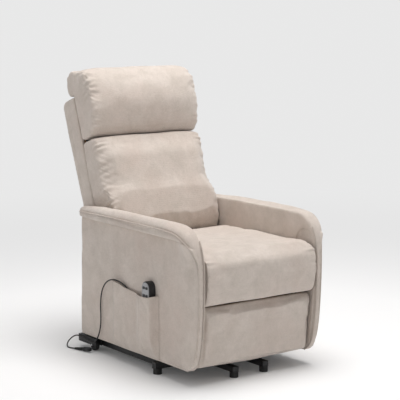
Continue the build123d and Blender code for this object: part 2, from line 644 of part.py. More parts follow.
def back_shell():
    """Padded rear cover of the back: a rear wall, two side walls and a closed top."""
    wall = SHELL_WALL
    points = [(SHELL_FRONT, SHELL_LOW, 4), (SHELL_FRONT, SHELL_TOP, 8), (SHELL_REAR, SHELL_TOP, 27.5),
              (SHELL_REAR, SHELL_LOW, 20)]
    solid = side_solid(points, (-BACK_HALF_WIDTH, BACK_HALF_WIDTH))
    hollow = block((-SHELL_INNER, SHELL_INNER), (SHELL_FRONT - 1, SHELL_REAR - wall),
                   (SHELL_LOW - 1, SHELL_TOP - wall))
    return on_back(solid - hollow)


def back_lever():
    """Cheeks under the bottom rail, and the pin that the back motor's rod hangs on."""
    rail = back_point(BOTTOM_RAIL[0], BOTTOM_RAIL[1] - RAIL_HALF)
    lean = radians(BACK_LEAN)
    flat = [(rail[0] + side * RAIL_HALF * cos(lean), rail[1] - side * RAIL_HALF * sin(lean))
            for side in (-1, 1)]
    y, z = BACK_LEVER_END
    points = [(*flat[0], 0), (y - 12, z + 10, 6), (y - 12, z - 12, 9), (y + 12, z - 12, 9),
              (y + 12, z + 10, 6), (*flat[1], 0)]
    plates = cheeks(BACK_MOTOR_X, MOTOR_HALF_GAP, CHEEK, lambda layer: side_solid(points, layer))
    pin = rod_x((BACK_MOTOR_X - 18, BACK_MOTOR_X + 18), BACK_LEVER_END, PIN_RADIUS)
    return group(*[plate - pin for plate in plates], pin)


# ---- Leg rest -------------------------------------------------------------------------
def leg_drive_tube():
    """Round tube across the chair that turns both drive links."""
    length = (-DRIVE_LAYER[1], DRIVE_LAYER[1])
    tube = rod_x(length, DRIVE_PIVOT, DRIVE_TUBE_RADIUS)
    return tube - rod_x(length, DRIVE_PIVOT, DRIVE_TUBE_RADIUS - DRIVE_TUBE_WALL)


def leg_tube_brackets():
    """Bearing plates in front of the seat's front rail that the drive tube turns in."""
    y, z = DRIVE_PIVOT
    points = [(RAIL_FRONT_Y, SEAT_RAIL_TOP - 6, 0), (y - 12, z + 14, 16), (y - 12, z - 13, 12),
              (y + 13, z - 13, 12), (RAIL_FRONT_Y, SEAT_RAIL_LOW + 2, 0)]
    plate = side_solid(points, TUBE_BRACKET_LAYER)
    return both_sides(plate - rod_x((0, 300), DRIVE_PIVOT, DRIVE_TUBE_RADIUS + RUNNING_CLEARANCE))


def leg_drive_links():
    """Links fixed to the drive tube, each with the pin that the carrier link turns on."""
    link = link_plate(DRIVE_LAYER, DRIVE_PIVOT, DRIVE_END, LEG_LINK_HALF_WIDTH, DRIVE_TUBE_RADIUS)
    link += rod_x((DRIVE_LAYER[0], CARRIER_LAYER[1] + 0.8), DRIVE_END, PIN_RADIUS)
    return both_sides(link)


def leg_carrier_links():
    hole = PIN_RADIUS + RUNNING_CLEARANCE
    return both_sides(link_plate(CARRIER_LAYER, DRIVE_END, CARRIER_END, LEG_LINK_HALF_WIDTH, hole, hole))


def leg_drive_lever():
    """Slotted lever on the drive tube that the leg motor's pin pushes."""
    angle = atan2(-LEG_PIN_DROP, LEG_PIN_LEAD * 1.098)
    reach = hypot(LEG_PIN_DROP, LEG_PIN_LEAD)

    def along(distance):
        return (DRIVE_PIVOT[0] + distance * cos(angle), DRIVE_PIVOT[1] + distance * sin(angle))

    half_slot = LEG_PIN_RADIUS + LEG_SLOT_PLAY
    lever = link_plate(LEVER_LAYER, DRIVE_PIVOT, along(reach + 3), half_slot + 6)
    lever -= rod_x((0, 300), DRIVE_PIVOT, DRIVE_TUBE_RADIUS)
    return lever - link_plate((0, 300), along(LEG_PIN_DROP - 1), along(reach + 1), half_slot)


def footrest_face(offset, inset=0.0):
    """Side-view ends of a line parallel to the leg rest's front face, offset behind it."""
    slope = (FOOTREST_BOTTOM_Y - FOOTREST_TOP_Y) / (FOOTREST_TOP - FOOTREST_BOTTOM)
    return [(FOOTREST_TOP_Y + offset + slope * (FOOTREST_TOP - height), height)
            for height in (FOOTREST_TOP - inset, FOOTREST_BOTTOM + inset)]


def footrest_board():
    front = footrest_face(FOOTREST_DEPTH - FOOTREST_BOARD, 6)
    rear = footrest_face(FOOTREST_DEPTH, 6)
    points = [(*front[0], 0), (*front[1], 0), (*rear[1], 0), (*rear[0], 0)]
    return side_solid(points, (-FOOT_BRACKET_LAYER[1], FOOT_BRACKET_LAYER[1]))


def footrest_pad():
    front = footrest_face(0)
    rear = footrest_face(FOOTREST_DEPTH - FOOTREST_BOARD - PAD_GAP)
    points = [(*front[0], 20), (*front[1], 16), (*rear[1], 3), (*rear[0], 3)]
    return side_solid(points, (-CUSHION_HALF_WIDTH - 1, CUSHION_HALF_WIDTH + 1))


def footrest_brackets():
    """Lugs behind the board, each with the pin that the carrier link's upper end turns on."""
    face = footrest_face(FOOTREST_DEPTH)
    slope = (face[1][0] - face[0][0]) / (face[1][1] - face[0][1])
    y, z = CARRIER_END

    def face_y(height):
        return face[0][0] + slope * (height - face[0][1])

    points = [(face_y(z + 12), z + 12, 0), (face_y(z - 60), z - 60, 0), (y - 2, z - 34, 8),
              (y + 11, z - 8, 8), (y + 9, z + 12, 8)]
    lug = side_solid(points, FOOT_BRACKET_LAYER)
    lug += rod_x((FOOT_BRACKET_LAYER[1] - 1, CARRIER_LAYER[1] + 0.8), CARRIER_END, PIN_RADIUS)
    return both_sides(lug)


# ---- Pocket and handset ---------------------------------------------------------------
HANDSET_BACK = -PANEL_OUT - PAD_GAP
HANDSET_FACE = HANDSET_BACK - HANDSET_DEPTH
HANDSET_X = (HANDSET_BACK + HANDSET_FACE) / 2
BUTTON_ROWS = {"lift": HANDSET_TOP - 24, "recline": HANDSET_TOP - 52}
BUTTON_SIDES = {"up": -1, "down": 1}
BUTTON_OFFSET = 9.0
BUTTON_DEPTH = 4.0


def pocket_plan(inset):
    """Plan outline of the pocket's bulge over the panel, full round the handset."""
    face = HANDSET_FACE - FACE_PLATE - 2.0 - POCKET_WALL + inset
    flat = -PANEL_OUT - 9.0 - POCKET_WALL + inset
    front = HANDSET_Y - HANDSET_WIDTH / 2
    return [(HANDSET_BACK, front - 22 + inset, 0), (face, front - 6 + inset, 10),
            (face, front + 60, 40), (flat, front + 128, 60), (flat, 64 - inset, 6),
            (HANDSET_BACK, 76 - inset, 0)]


def handset_pocket():
    """Sewn pocket on the right side panel, open at the top."""
    low, high = PANEL_BOTTOM + 4, 306.0
    floor = 106.0
    face = HANDSET_FACE - FACE_PLATE - 2.0 - POCKET_WALL
    taper = [(HANDSET_BACK, low, 0), (HANDSET_BACK - 5, low, 0), (face - 1, floor - 8, 20),
             (face - 1, high + 9, 0), (HANDSET_BACK, high + 9, 0)]
    mouth = [(80, low - 5, 0), (80, high - 3, 0), (24, 298, 60), (-80, 286, 90), (-170, 283, 80),
             (-240, 297, 0), (-240, low - 5, 0)]
    solid = plan_solid(pocket_plan(0), (low, high + 5))
    solid = solid & front_solid(taper, (-260, 100)) & side_solid(mouth, (face - 5, HANDSET_BACK + 1))
    return solid - plan_solid(pocket_plan(POCKET_WALL), (floor, high + 20))


def handset_outline(margin):
    half = HANDSET_WIDTH / 2 - margin
    low, high = HANDSET_BOTTOM + margin, HANDSET_TOP - margin
    return [(HANDSET_Y - half, low, 12), (HANDSET_Y - half, high, half - 1),
            (HANDSET_Y + half, high, half - 1), (HANDSET_Y + half, low, 12)]


def button_places():
    """Every button's name with its (y, z) place."""
    return {f"button_{row}_{way}": (HANDSET_Y + side * BUTTON_OFFSET, height)
            for row, height in BUTTON_ROWS.items() for way, side in BUTTON_SIDES.items()}


def button_block(place, clearance, x):
    half_y = BUTTON[0] / 2 + clearance
    half_z = BUTTON[1] / 2 + clearance
    return block(x, (place[0] - half_y, place[0] + half_y), (place[1] - half_z, place[1] + half_z))


def handset_shell():
    solid = side_solid(handset_outline(0), (HANDSET_FACE, HANDSET_BACK))
    solid = fillet(solid.faces().sort_by(Axis.X)[0].edges(), 3)
    well = (HANDSET_FACE - 1, HANDSET_FACE + BUTTON_DEPTH)
    for place in button_places().values():
        solid -= button_block(place, BUTTON_CLEARANCE, well)
    return solid


def handset_face_plate():
    plate = side_solid(handset_outline(4), (HANDSET_FACE - FACE_PLATE, HANDSET_FACE))
    for place in button_places().values():
        plate -= button_block(place, BUTTON_CLEARANCE, (HANDSET_FACE - 9, HANDSET_FACE + 1))
    return plate


def handset_button(place):
    x = (HANDSET_FACE - FACE_PLATE - BUTTON_PROUD,
         HANDSET_FACE + BUTTON_DEPTH - BUTTON_TRAVEL - BUTTON_CLEARANCE)
    cap = button_block(place, 0, x)
    return fillet(cap.edges().filter_by(Axis.X), 2.5)


# ---- Handset lead ---------------------------------------------------------------------
GLAND_LENGTH = 18.0
GLAND_END = (HANDSET_X, HANDSET_Y, HANDSET_BOTTOM - GLAND_LENGTH)
PLUG_START = (-328.3, 283.0, 4.8)
PLUG_HEADING = (23.0, -85.0, 9.0)
RELIEF_LENGTH = 48.0
PLUG_LENGTH = 38.0
PLUG_RADIUS = 8.5
CORD_ROUTE = [
    GLAND_END, (HANDSET_X, HANDSET_Y, 148), (-294, -170, 126), (-292, -144, 118), (-289, -118, 127),
    (-287.4, -98, 152), (-287, -85, 186), (-287, -73, 222), (-286.8, -58, 256), (-286.8, -37, 286),
    (-292, -8, 306), (-299, 28, 314), (-302, 64, 309), (-300, 98, 292), (-296, 126, 265),
    (-292, 145, 231), (-290, 152, 192), (-290, 150, 153), (-290, 152, 115), (-292, 160, 82),
    (-295, 174, 56), (-295, 196, 40), (-292, 228, 36), (-291, 262, 39.5), (-290.5, 296, 42.5),
    (-290, 329, 44.5), (-303.4, 347, 32.3), (-322.3, 347, 15.2), (-335.7, 329, 3.1),
    (-333.5, 302.2, 2.77), PLUG_START]


def cord_bends(route):
    """Each bend's radius: a fixed share of the shorter run over the half turn's tangent."""
    radii = []
    for before, corner, after in zip(route, route[1:], route[2:]):
        entry = Vector(*corner) - Vector(*before)
        leave = Vector(*after) - Vector(*corner)
        half_turn = radians(entry.get_angle(leave)) / 2
        radii.append(CORD_BEND_SHARE * min(entry.length, leave.length) / tan(half_turn))
    return radii


def handset_cord():
    radii = cord_bends(CORD_ROUTE)
    path = FilletPolyline(*CORD_ROUTE, radius=radii)
    section = Plane(origin=path @ 0, z_dir=path % 0) * Circle(CORD_DIAMETER / 2)
    tube = sweep(section, path=path)
    expected = pi * CORD_DIAMETER ** 2 / 4 * path.length
    print("cord bend radii (mm):", [round(radius, 1) for radius in radii])
    print(f"cord length {path.length:.1f} mm, volume {tube.volume:.0f} of {expected:.0f} mm3")
    return tube


def cord_gland():
    """Tapered strain relief where the lead leaves the handset's lower end."""
    cone = Cone(CORD_DIAMETER / 2 + 1, CORD_DIAMETER / 2 + 3, GLAND_LENGTH)
    return Pos(HANDSET_X, HANDSET_Y, HANDSET_BOTTOM - GLAND_LENGTH / 2) * cone


def plug_plane(distance):
    heading = Vector(*PLUG_HEADING).normalized()
    return Plane(origin=Vector(*PLUG_START) + heading * distance, z_dir=heading)


def plug_strain_relief():
    cone = Cone(CORD_DIAMETER / 2 + 0.8, PLUG_RADIUS - 2, RELIEF_LENGTH)
    return plug_plane(RELIEF_LENGTH / 2) * cone


def cord_plug():
    barrel = fillet(Cylinder(PLUG_RADIUS, PLUG_LENGTH).edges(), 1.5)
    return plug_plane(RELIEF_LENGTH + PLUG_LENGTH / 2) * barrel


# ---- All nodes ------------------------------------------------------------------------
def build():
    pieces = {piece.__name__: piece() for piece in (
        base_cross_tubes, base_rails, foot_pads, wheel_channels, lift_pivot_brackets,
        lift_motor_bracket, base_pins, lift_arms, lift_torque_tube, lift_lever, lift_links,
        lift_motor_housing, lift_motor_rod, mechanism_plates, chassis_pivot_pins,
        seat_frame_rails, seat_webbing, chassis_rear_tube, leg_tube_brackets, motor_brackets,
        leg_motor_housing, control_box, side_boards, seat_cushion, rear_apron, back_uprights,
        back_cross_rails, back_hinge_plates, back_webbing, back_cushion, headrest, back_shell,
        back_lever, back_motor_housing, back_motor_rod, leg_drive_tube, leg_drive_links,
        leg_carrier_links, leg_drive_lever, footrest_board, footrest_pad, footrest_brackets,
        leg_motor_rod, handset_pocket, handset_shell, handset_face_plate, handset_cord,
        cord_gland, plug_strain_relief, cord_plug)}
    for name, side in (("right", -1), ("left", 1)):
        pieces[f"wheel_{name}"] = wheel(side)
        pieces[f"side_panel_{name}"] = side_panel(side)
        pieces[f"arm_pad_{name}"] = arm_pad(side)
    for name, place in button_places().items():
        pieces[name] = handset_button(place)
    return pieces


if __name__ == "__main__":
    os.makedirs("parts", exist_ok=True)
    nodes = build()
    for name, solid in nodes.items():
        export_step(solid, f"parts/{name}.step")
    print(len(nodes), "nodes")
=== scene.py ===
"""Power lift recliner armchair in beige chenille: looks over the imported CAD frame.

Metres, +Z up, the sitter faces -Y and the right side, with the handset, is -X. Places on the
back are (x, depth, height) along its lean.
"""
from math import cos, pi, radians, sin

import bmesh
import bpy
import numpy as np
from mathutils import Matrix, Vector


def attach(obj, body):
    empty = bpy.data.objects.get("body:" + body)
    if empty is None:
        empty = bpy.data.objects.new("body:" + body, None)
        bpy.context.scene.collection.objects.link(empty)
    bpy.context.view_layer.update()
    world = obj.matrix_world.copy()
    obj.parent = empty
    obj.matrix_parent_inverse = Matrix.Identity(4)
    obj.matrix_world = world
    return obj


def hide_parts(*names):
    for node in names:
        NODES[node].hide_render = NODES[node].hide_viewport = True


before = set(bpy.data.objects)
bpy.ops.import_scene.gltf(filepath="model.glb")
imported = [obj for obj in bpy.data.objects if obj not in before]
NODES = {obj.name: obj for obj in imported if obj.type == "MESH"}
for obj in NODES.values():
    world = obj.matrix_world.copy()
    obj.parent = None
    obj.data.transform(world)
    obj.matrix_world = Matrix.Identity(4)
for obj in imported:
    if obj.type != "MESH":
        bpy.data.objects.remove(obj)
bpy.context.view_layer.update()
scene = bpy.context.scene


# ---- Camera ---------------------------------------------------------------------------
CAMERA_PLACE = (-3.0819, -4.3497, 1.3782)
CAMERA_DOWN, CAMERA_TURN = 8.4, 35.9    # degrees below level, and round from the front
LENS, SENSOR = 127.9, 36.0              # millimetres


def make_camera():
    data = bpy.data.cameras.new("camera")
    data.lens = LENS
    data.sensor_width = SENSOR
    camera = bpy.data.objects.new("camera", data)
    camera.location = CAMERA_PLACE
    camera.rotation_euler = (radians(90 - CAMERA_DOWN), 0, radians(-CAMERA_TURN))
    scene.collection.objects.link(camera)
    scene.camera = camera


make_camera()


# ---- Node helpers ---------------------------------------------------------------------
class Nodes:
    """A material's node tree with short calls to add and join nodes."""

    def __init__(self, name):
        self.material = bpy.data.materials.new(name)
        self.material.use_nodes = True
        self.tree = self.material.node_tree
        self.shader = self.tree.nodes["Principled BSDF"]
        self.place = self.add("ShaderNodeTexCoord").outputs["Object"]

    def add(self, kind, **settings):
        node = self.tree.nodes.new(kind)
        for key, value in settings.items():
            setattr(node, key, value)
        return node

    def join(self, source, target):
        self.tree.links.new(source, target)

    def noise(self, scale, detail=3.0, rough=0.5, place=None, distortion=0.0):
        node = self.add("ShaderNodeTexNoise")
        node.inputs["Scale"].default_value = scale
        node.inputs["Detail"].default_value = detail
        node.inputs["Roughness"].default_value = rough
        node.inputs["Distortion"].default_value = distortion
        self.join(place or self.place, node.inputs["Vector"])
        return node.outputs["Fac"]

    def cells(self, scale):
        node = self.add("ShaderNodeTexVoronoi")
        node.inputs["Scale"].default_value = scale
        self.join(self.place, node.inputs["Vector"])
        return node.outputs["Distance"]

    def stretched(self, factors):
        node = self.add("ShaderNodeMapping")
        node.inputs["Scale"].default_value = factors
        self.join(self.place, node.inputs["Vector"])
        return node.outputs["Vector"]

    def bands(self, direction, scale, distortion=0.0):
        node = self.add("ShaderNodeTexWave", wave_type="BANDS", bands_direction=direction)
        node.inputs["Scale"].default_value = scale
        node.inputs["Distortion"].default_value = distortion
        node.inputs["Detail"].default_value = 1.0
        self.join(self.place, node.inputs["Vector"])
        return node.outputs["Fac"]

    def math(self, operation, a, b):
        node = self.add("ShaderNodeMath", operation=operation)
        for value, socket in ((a, node.inputs[0]), (b, node.inputs[1])):
            if isinstance(value, (int, float)):
                socket.default_value = value
            else:
                self.join(value, socket)
        return node.outputs[0]

    def spread(self, value, low, high, to_low=0.0, to_high=1.0):
        node = self.add("ShaderNodeMapRange")
        for name, number in (("From Min", low), ("From Max", high), ("To Min", to_low),
                             ("To Max", to_high)):
            node.inputs[name].default_value = number
        self.join(value, node.inputs["Value"])
        return node.outputs["Result"]

    def mix(self, factor, first, second):
        node = self.add("ShaderNodeMix", data_type="RGBA")
        sockets = (node.inputs[0], node.inputs[6], node.inputs[7])
        for value, socket in zip((factor, first, second), sockets):
            if isinstance(value, (int, float)):
                socket.default_value = value
            elif isinstance(value, tuple):
                socket.default_value = (*value, 1.0)
            else:
                self.join(value, socket)
        return node.outputs[2]

    def bump(self, height, strength, distance, after=None):
        node = self.add("ShaderNodeBump")
        node.inputs["Strength"].default_value = strength
        node.inputs["Distance"].default_value = distance
        self.join(height, node.inputs["Height"])
        if after:
            self.join(after, node.inputs["Normal"])
        return node.outputs["Normal"]

    def finish(self, colour, roughness, normal, **fixed):
        self.join(colour, self.shader.inputs["Base Color"])
        if isinstance(roughness, (int, float)):
            self.shader.inputs["Roughness"].default_value = roughness
        else:
            self.join(roughness, self.shader.inputs["Roughness"])
        self.join(normal, self.shader.inputs["Normal"])
        for name, value in fixed.items():
            socket = self.shader.inputs[name.replace("_", " ")]
            socket.default_value = value
        return self.material


# ---- Materials ------------------------------------------------------------------------
def chenille(name, light, warm, shadow):
    """Nubby woven cover: knotted weave, cloudy mottling, warm patches and a soft sheen."""
    n = Nodes(name)
    mottling = n.spread(n.noise(17.0, 4.0, 0.6, distortion=0.6), 0.36, 0.66)
    patches = n.spread(n.noise(5.5, 3.0, 0.55), 0.46, 0.70, 0.0, 0.6)
    flecks = n.spread(n.noise(75.0, 4.0, 0.65, distortion=0.8), 0.36, 0.64)
    brushed = n.spread(n.noise(38.0, 3.0, 0.6, n.stretched((1.0, 0.45, 0.4)), 1.2), 0.4, 0.62)
    x, y, z = (n.bands(axis, 128.0, 1.4) for axis in "XYZ")
    weave = n.math("ADD", n.math("MULTIPLY", x, y),
                   n.math("ADD", n.math("MULTIPLY", y, z), n.math("MULTIPLY", z, x)))
    knots = n.cells(360.0)
    specks = n.spread(n.noise(190.0, 3.0, 0.6), 0.40, 0.62)
    colour = n.mix(n.spread(mottling, 0, 1, 0.0, 0.75), light, shadow)
    colour = n.mix(patches, colour, warm)
    colour = n.mix(n.spread(brushed, 0, 1, 0.0, 0.25), colour, light)
    colour = n.mix(n.spread(flecks, 0, 1, 0.0, 0.36), colour, shadow)
    colour = n.mix(n.spread(specks, 0, 1, 0.0, 0.30), colour, light)
    colour = n.mix(n.spread(knots, 0.1, 0.7, 0.0, 0.16), colour, shadow)
    relief = n.bump(flecks, 0.35, 0.0009)
    relief = n.bump(weave, 0.4, 0.0006, relief)
    relief = n.bump(knots, 0.45, 0.0005, relief)
    rough = n.spread(brushed, 0, 1, 0.82, 0.96)
    return n.finish(colour, rough, relief, Sheen_Weight=0.3, Sheen_Roughness=0.45,
                    Specular_IOR_Level=0.25)


def coated_steel(name, dark, grey, rough):
    """Powder coat: orange-peel skin, rubbed lighter in places."""
    n = Nodes(name)
    rubbed = n.spread(n.noise(24.0, 5.0, 0.6), 0.52, 0.78)
    peel = n.noise(900.0, 2.0)
    dust = n.spread(n.noise(160.0, 4.0, 0.7), 0.5, 0.8, 0.0, 0.3)
    colour = n.mix(dust, n.mix(rubbed, dark, grey), grey)
    return n.finish(colour, n.spread(rubbed, 0, 1, rough, rough + 0.2), n.bump(peel, 0.2, 0.0004),
                    Metallic=0.35, Specular_IOR_Level=0.5)


def bright_steel(name):
    n = Nodes(name)
    drawn = n.noise(60.0, 3.0, 0.6, n.stretched((40.0, 1.0, 1.0)))
    colour = n.mix(n.spread(drawn, 0.3, 0.7), (0.50, 0.50, 0.51), (0.72, 0.72, 0.73))
    return n.finish(colour, n.spread(drawn, 0.3, 0.7, 0.22, 0.4), n.bump(drawn, 0.1, 0.0002),
                    Metallic=1.0)


def moulded(name, dark, light, rough, grain=700.0):
    """Moulded plastic or rubber with a fine spark-eroded grain and handling marks."""
    n = Nodes(name)
    marks = n.spread(n.noise(35.0, 5.0, 0.65), 0.45, 0.75)
    texture = n.cells(grain)
    colour = n.mix(marks, dark, light)
    return n.finish(colour, n.spread(marks, 0, 1, rough, rough + 0.18),
                    n.bump(texture, 0.25, 0.0002), Specular_IOR_Level=0.45)


def silver_plastic(name):
    n = Nodes(name)
    flake = n.spread(n.noise(1500.0, 2.0, 0.6), 0.4, 0.6)
    wear = n.spread(n.noise(60.0, 4.0, 0.6), 0.5, 0.75)
    colour = n.mix(flake, (0.30, 0.30, 0.31), (0.42, 0.42, 0.43))
    colour = n.mix(n.math("MULTIPLY", wear, 0.35), colour, (0.20, 0.20, 0.21))
    return n.finish(colour, n.spread(wear, 0, 1, 0.34, 0.5), n.bump(flake, 0.08, 0.0001),
                    Metallic=0.4)


def plywood(name):
    n = Nodes(name)
    grain = n.noise(14.0, 5.0, 0.65, n.stretched((6.0, 1.0, 14.0)), 1.5)
    plies = n.bands("X", 105.0, 0.6)
    fibre = n.noise(220.0, 3.0, 0.6, n.stretched((1.0, 0.1, 1.0)))
    colour = n.mix(n.spread(grain, 0.3, 0.7), (0.56, 0.38, 0.21), (0.36, 0.22, 0.11))
    colour = n.mix(n.math("MULTIPLY", plies, 0.25), colour, (0.26, 0.15, 0.07))
    return n.finish(colour, n.spread(fibre, 0.3, 0.7, 0.55, 0.75), n.bump(fibre, 0.3, 0.0003))


def woven_strap(name):
    n = Nodes(name)
    x, y, z = (n.bands(axis, 150.0, 0.5) for axis in "XYZ")
    weave = n.math("ADD", n.math("MULTIPLY", x, z), n.math("MULTIPLY", x, y))
    fuzz = n.noise(300.0, 3.0, 0.6)
    colour = n.mix(n.spread(weave, 0.0, 1.2), (0.018, 0.018, 0.019), (0.07, 0.068, 0.066))
    colour = n.mix(n.spread(fuzz, 0.4, 0.7, 0.0, 0.4), colour, (0.11, 0.105, 0.10))
    return n.finish(colour, 0.85, n.bump(n.math("ADD", weave, z), 0.5, 0.0004), Sheen_Weight=0.15)


FABRIC = chenille("cover_fabric", (0.700, 0.620, 0.560), (0.610, 0.490, 0.430),
                  (0.520, 0.455, 0.395))
# The piping is the cover's own chenille made darker all over: painted shade for the shading lines
# along the seams.
PIPING_PAINTED_SHADE = chenille("cover_piping_painted_shade", (0.620, 0.540, 0.480), (0.560, 0.450, 0.390),
                  (0.490, 0.430, 0.375))
STEEL = coated_steel("base_steel", (0.016, 0.016, 0.017), (0.055, 0.055, 0.056), 0.42)
MECHANISM = coated_steel("mechanism_steel", (0.022, 0.022, 0.023), (0.08, 0.08, 0.082), 0.38)
BRIGHT = bright_steel("bright_steel")
BLACK = moulded("black_plastic", (0.012, 0.012, 0.013), (0.03, 0.03, 0.031), 0.4)
MOTOR = moulded("motor_plastic", (0.014, 0.014, 0.015), (0.035, 0.035, 0.036), 0.48, 420.0)
RUBBER = moulded("rubber", (0.010, 0.010, 0.010), (0.032, 0.031, 0.030), 0.62, 260.0)
LEAD = moulded("lead_sheath", (0.020, 0.018, 0.017), (0.042, 0.038, 0.036), 0.5, 500.0)
BUTTON = moulded("button_rubber", (0.020, 0.020, 0.021), (0.045, 0.045, 0.047), 0.45, 1200.0)
SILVER = silver_plastic("silver_plastic")
WOOD = plywood("plywood")
STRAP = woven_strap("elastic_webbing")


def dress_nodes():
    """Every CAD node that stays gets its material."""
    kinds = {
        STEEL: ["base_cross_tubes", "base_rails", "wheel_channels", "lift_pivot_brackets",
                "lift_motor_bracket"],
        BRIGHT: ["base_pins", "chassis_pivot_pins", "lift_motor_rod", "back_motor_rod",
                 "leg_motor_rod"],
        MECHANISM: ["lift_arms", "lift_torque_tube", "lift_lever", "lift_links",
                    "mechanism_plates", "seat_frame_rails", "chassis_rear_tube",
                    "leg_tube_brackets", "motor_brackets", "back_hinge_plates", "back_lever",
                    "leg_drive_tube", "leg_drive_links", "leg_drive_lever",
                    "leg_carrier_links", "footrest_brackets"],
        RUBBER: ["foot_pads", "wheel_right", "wheel_left"],
        MOTOR: ["lift_motor_housing", "back_motor_housing", "leg_motor_housing", "control_box"],
        WOOD: ["side_boards", "back_uprights", "back_cross_rails", "footrest_board"],
        STRAP: ["seat_webbing", "back_webbing"],
        BLACK: ["handset_shell"],
        SILVER: ["handset_face_plate"],
        BUTTON: ["button_lift_up", "button_lift_down", "button_recline_up",
                 "button_recline_down"],
    }
    for material, names in kinds.items():
        for name in names:
            slots = NODES[name].data.materials
            slots.clear()
            slots.append(material)


# ---- Mesh helpers ---------------------------------------------------------------------
CLOTH_FRAMES = 20


def points_of(mesh):
    flat = np.empty(len(mesh.vertices) * 3, np.float32)
    mesh.vertices.foreach_get("co", flat)
    return flat.reshape(-1, 3).astype(float)


def set_points(mesh, points):
    mesh.vertices.foreach_set("co", points.astype(np.float32).ravel())
    mesh.update()


def normals_of(mesh):
    flat = np.empty(len(mesh.vertices) * 3, np.float32)
    mesh.vertex_normals.foreach_get("vector", flat)
    return flat.reshape(-1, 3).astype(float)


def mesh_of(name, points, faces):
    mesh = bpy.data.meshes.new(name)
    mesh.from_pydata(points, [], faces)
    mesh.update()
    return mesh


def make_piece(name, mesh, body, material):
    piece = bpy.data.objects.new(name, mesh)
    scene.collection.objects.link(piece)
    mesh.materials.clear()
    mesh.materials.append(material)
    mesh.polygons.foreach_set("use_smooth", [True] * len(mesh.polygons))
    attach(piece, body)
    return piece


def bake_modifiers(piece):
    graph = bpy.context.evaluated_depsgraph_get()
    mesh = bpy.data.meshes.new_from_object(piece.evaluated_get(graph))
    piece.modifiers.clear()
    piece.data = mesh


def remesh(piece, voxel):
    modifier = piece.modifiers.new("remesh", "REMESH")
    modifier.mode = "VOXEL"
    modifier.voxel_size = voxel
    modifier.use_smooth_shade = True
    bake_modifiers(piece)


def subdivide(piece):
    modifier = piece.modifiers.new("subdivision", "SUBSURF")
    modifier.levels = modifier.render_levels = 1
    bake_modifiers(piece)


def relax(piece, rounds):
    """Rounds edges by moving each point towards the middle of its neighbours."""
    mesh = piece.data
    ends = np.empty(len(mesh.edges) * 2, np.int32)
    mesh.edges.foreach_get("vertices", ends)
    one, two = ends.reshape(-1, 2).T
    points = points_of(mesh)
    count = np.bincount(one, minlength=len(points)) + np.bincount(two, minlength=len(points))
    for _ in range(rounds):
        middle = np.empty_like(points)
        for axis in range(3):
            column = points[:, axis]
            middle[:, axis] = (np.bincount(one, column[two], len(points))
                               + np.bincount(two, column[one], len(points))) / count
        points = points * 0.35 + middle * 0.65
    set_points(mesh, points)


def inflate(piece, pressure, cap, free, sideways=1.0):
    """Blows the closed cover up as cloth, no point further than the cap.

    free gives the share of the swelling that each point takes: none where the cover is
    stapled down or rests on its frame. sideways is the share of it along x.
    """
    rest = points_of(piece.data)
    cloth = piece.modifiers.new("cloth", "CLOTH")
    settings = cloth.settings
    settings.quality = 4
    settings.mass = 0.35
    settings.tension_stiffness = 14.0
    settings.compression_stiffness = 14.0
    settings.shear_stiffness = 6.0
    settings.bending_stiffness = 0.6
    settings.use_pressure = True
    settings.uniform_pressure_force = pressure
    settings.effector_weights.gravity = 0.0
    cloth.collision_settings.use_collision = False
    cloth.point_cache.frame_start = 1
    cloth.point_cache.frame_end = CLOTH_FRAMES
    for step in range(1, CLOTH_FRAMES + 1):
        scene.frame_set(step)
    graph = bpy.context.evaluated_depsgraph_get()
    moved = points_of(piece.evaluated_get(graph).data)
    piece.modifiers.clear()
    scene.frame_set(1)
    shift = moved - rest
    length = np.linalg.norm(shift, axis=1, keepdims=True)
    shift *= np.minimum(1.0, cap / np.maximum(length, 1e-9))
    shift[:, 0] *= sideways
    shift *= free(rest)[:, None]
    set_points(piece.data, rest + shift)


def push(piece, amount):
    """Moves each point along its normal."""
    mesh = piece.data
    set_points(mesh, points_of(mesh) + normals_of(mesh) * np.asarray(amount)[:, None])


def smoothstep(value, low, high):
    share = np.clip((value - low) / (high - low), 0.0, 1.0)
    return share * share * (3 - 2 * share)


def soft_limit(value, low, high, margin):
    """Holds a coordinate inside two planes, easing over the margin before each."""
    def ease(past):
        return np.where(past > -margin, margin * (np.tanh((past + margin) / margin) - 1), past)
    value = high + ease(value - high)
    return low - ease(low - value)


def near_line(distance, width):
    return np.exp(-(distance / width) ** 2)


def waves(along, length, seed):
    """Uneven ripples along a seam, between -1 and 1."""
    turn = 2 * pi * along / length
    drift = 1.7 * np.sin(turn * 0.23 + seed) + 0.9 * np.sin(turn * 0.41 + 2.3 * seed)
    size = 0.55 + 0.45 * np.sin(turn * 0.17 + 1.7 * seed) * np.sin(turn * 0.31 + seed)
    return np.sin(turn + drift) * size


def clouds(points, length, seed):
    """Slow unevenness of stuffed cloth, between about -1 and 1."""
    x, y, z = (points / length * 2 * pi).T
    return (np.sin(x + 1.3 * np.sin(0.7 * y + seed) + seed) * np.sin(0.9 * z + 0.8 * y + 2 * seed)
            + 0.5 * np.sin(1.9 * y - 1.1 * x + 3 * seed) * np.sin(1.7 * z + seed)) / 1.5


def from_node(name, body, node, voxel):
    """A cover that starts from its CAD solid's shape."""
    piece = make_piece(name, NODES[node].data.copy(), body, FABRIC)
    remesh(piece, voxel)
    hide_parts(node)
    return piece


def round_line(name, route, radius, steps, roundness):
    """A round curve object whose spline is smooth through its control points."""
    data = bpy.data.curves.new(name, "CURVE")
    data.dimensions = "3D"
    spline = data.splines.new("NURBS")
    spline.points.add(len(route) - 1)
    for point, place in zip(spline.points, route):
        point.co = (*place, 1.0)
    spline.order_u = 3
    spline.use_endpoint_u = True
    spline.resolution_u = steps
    data.bevel_depth = radius
    data.bevel_resolution = roundness
    data.use_fill_caps = True
    curve = bpy.data.objects.new(name, data)
    scene.collection.objects.link(curve)
    return curve


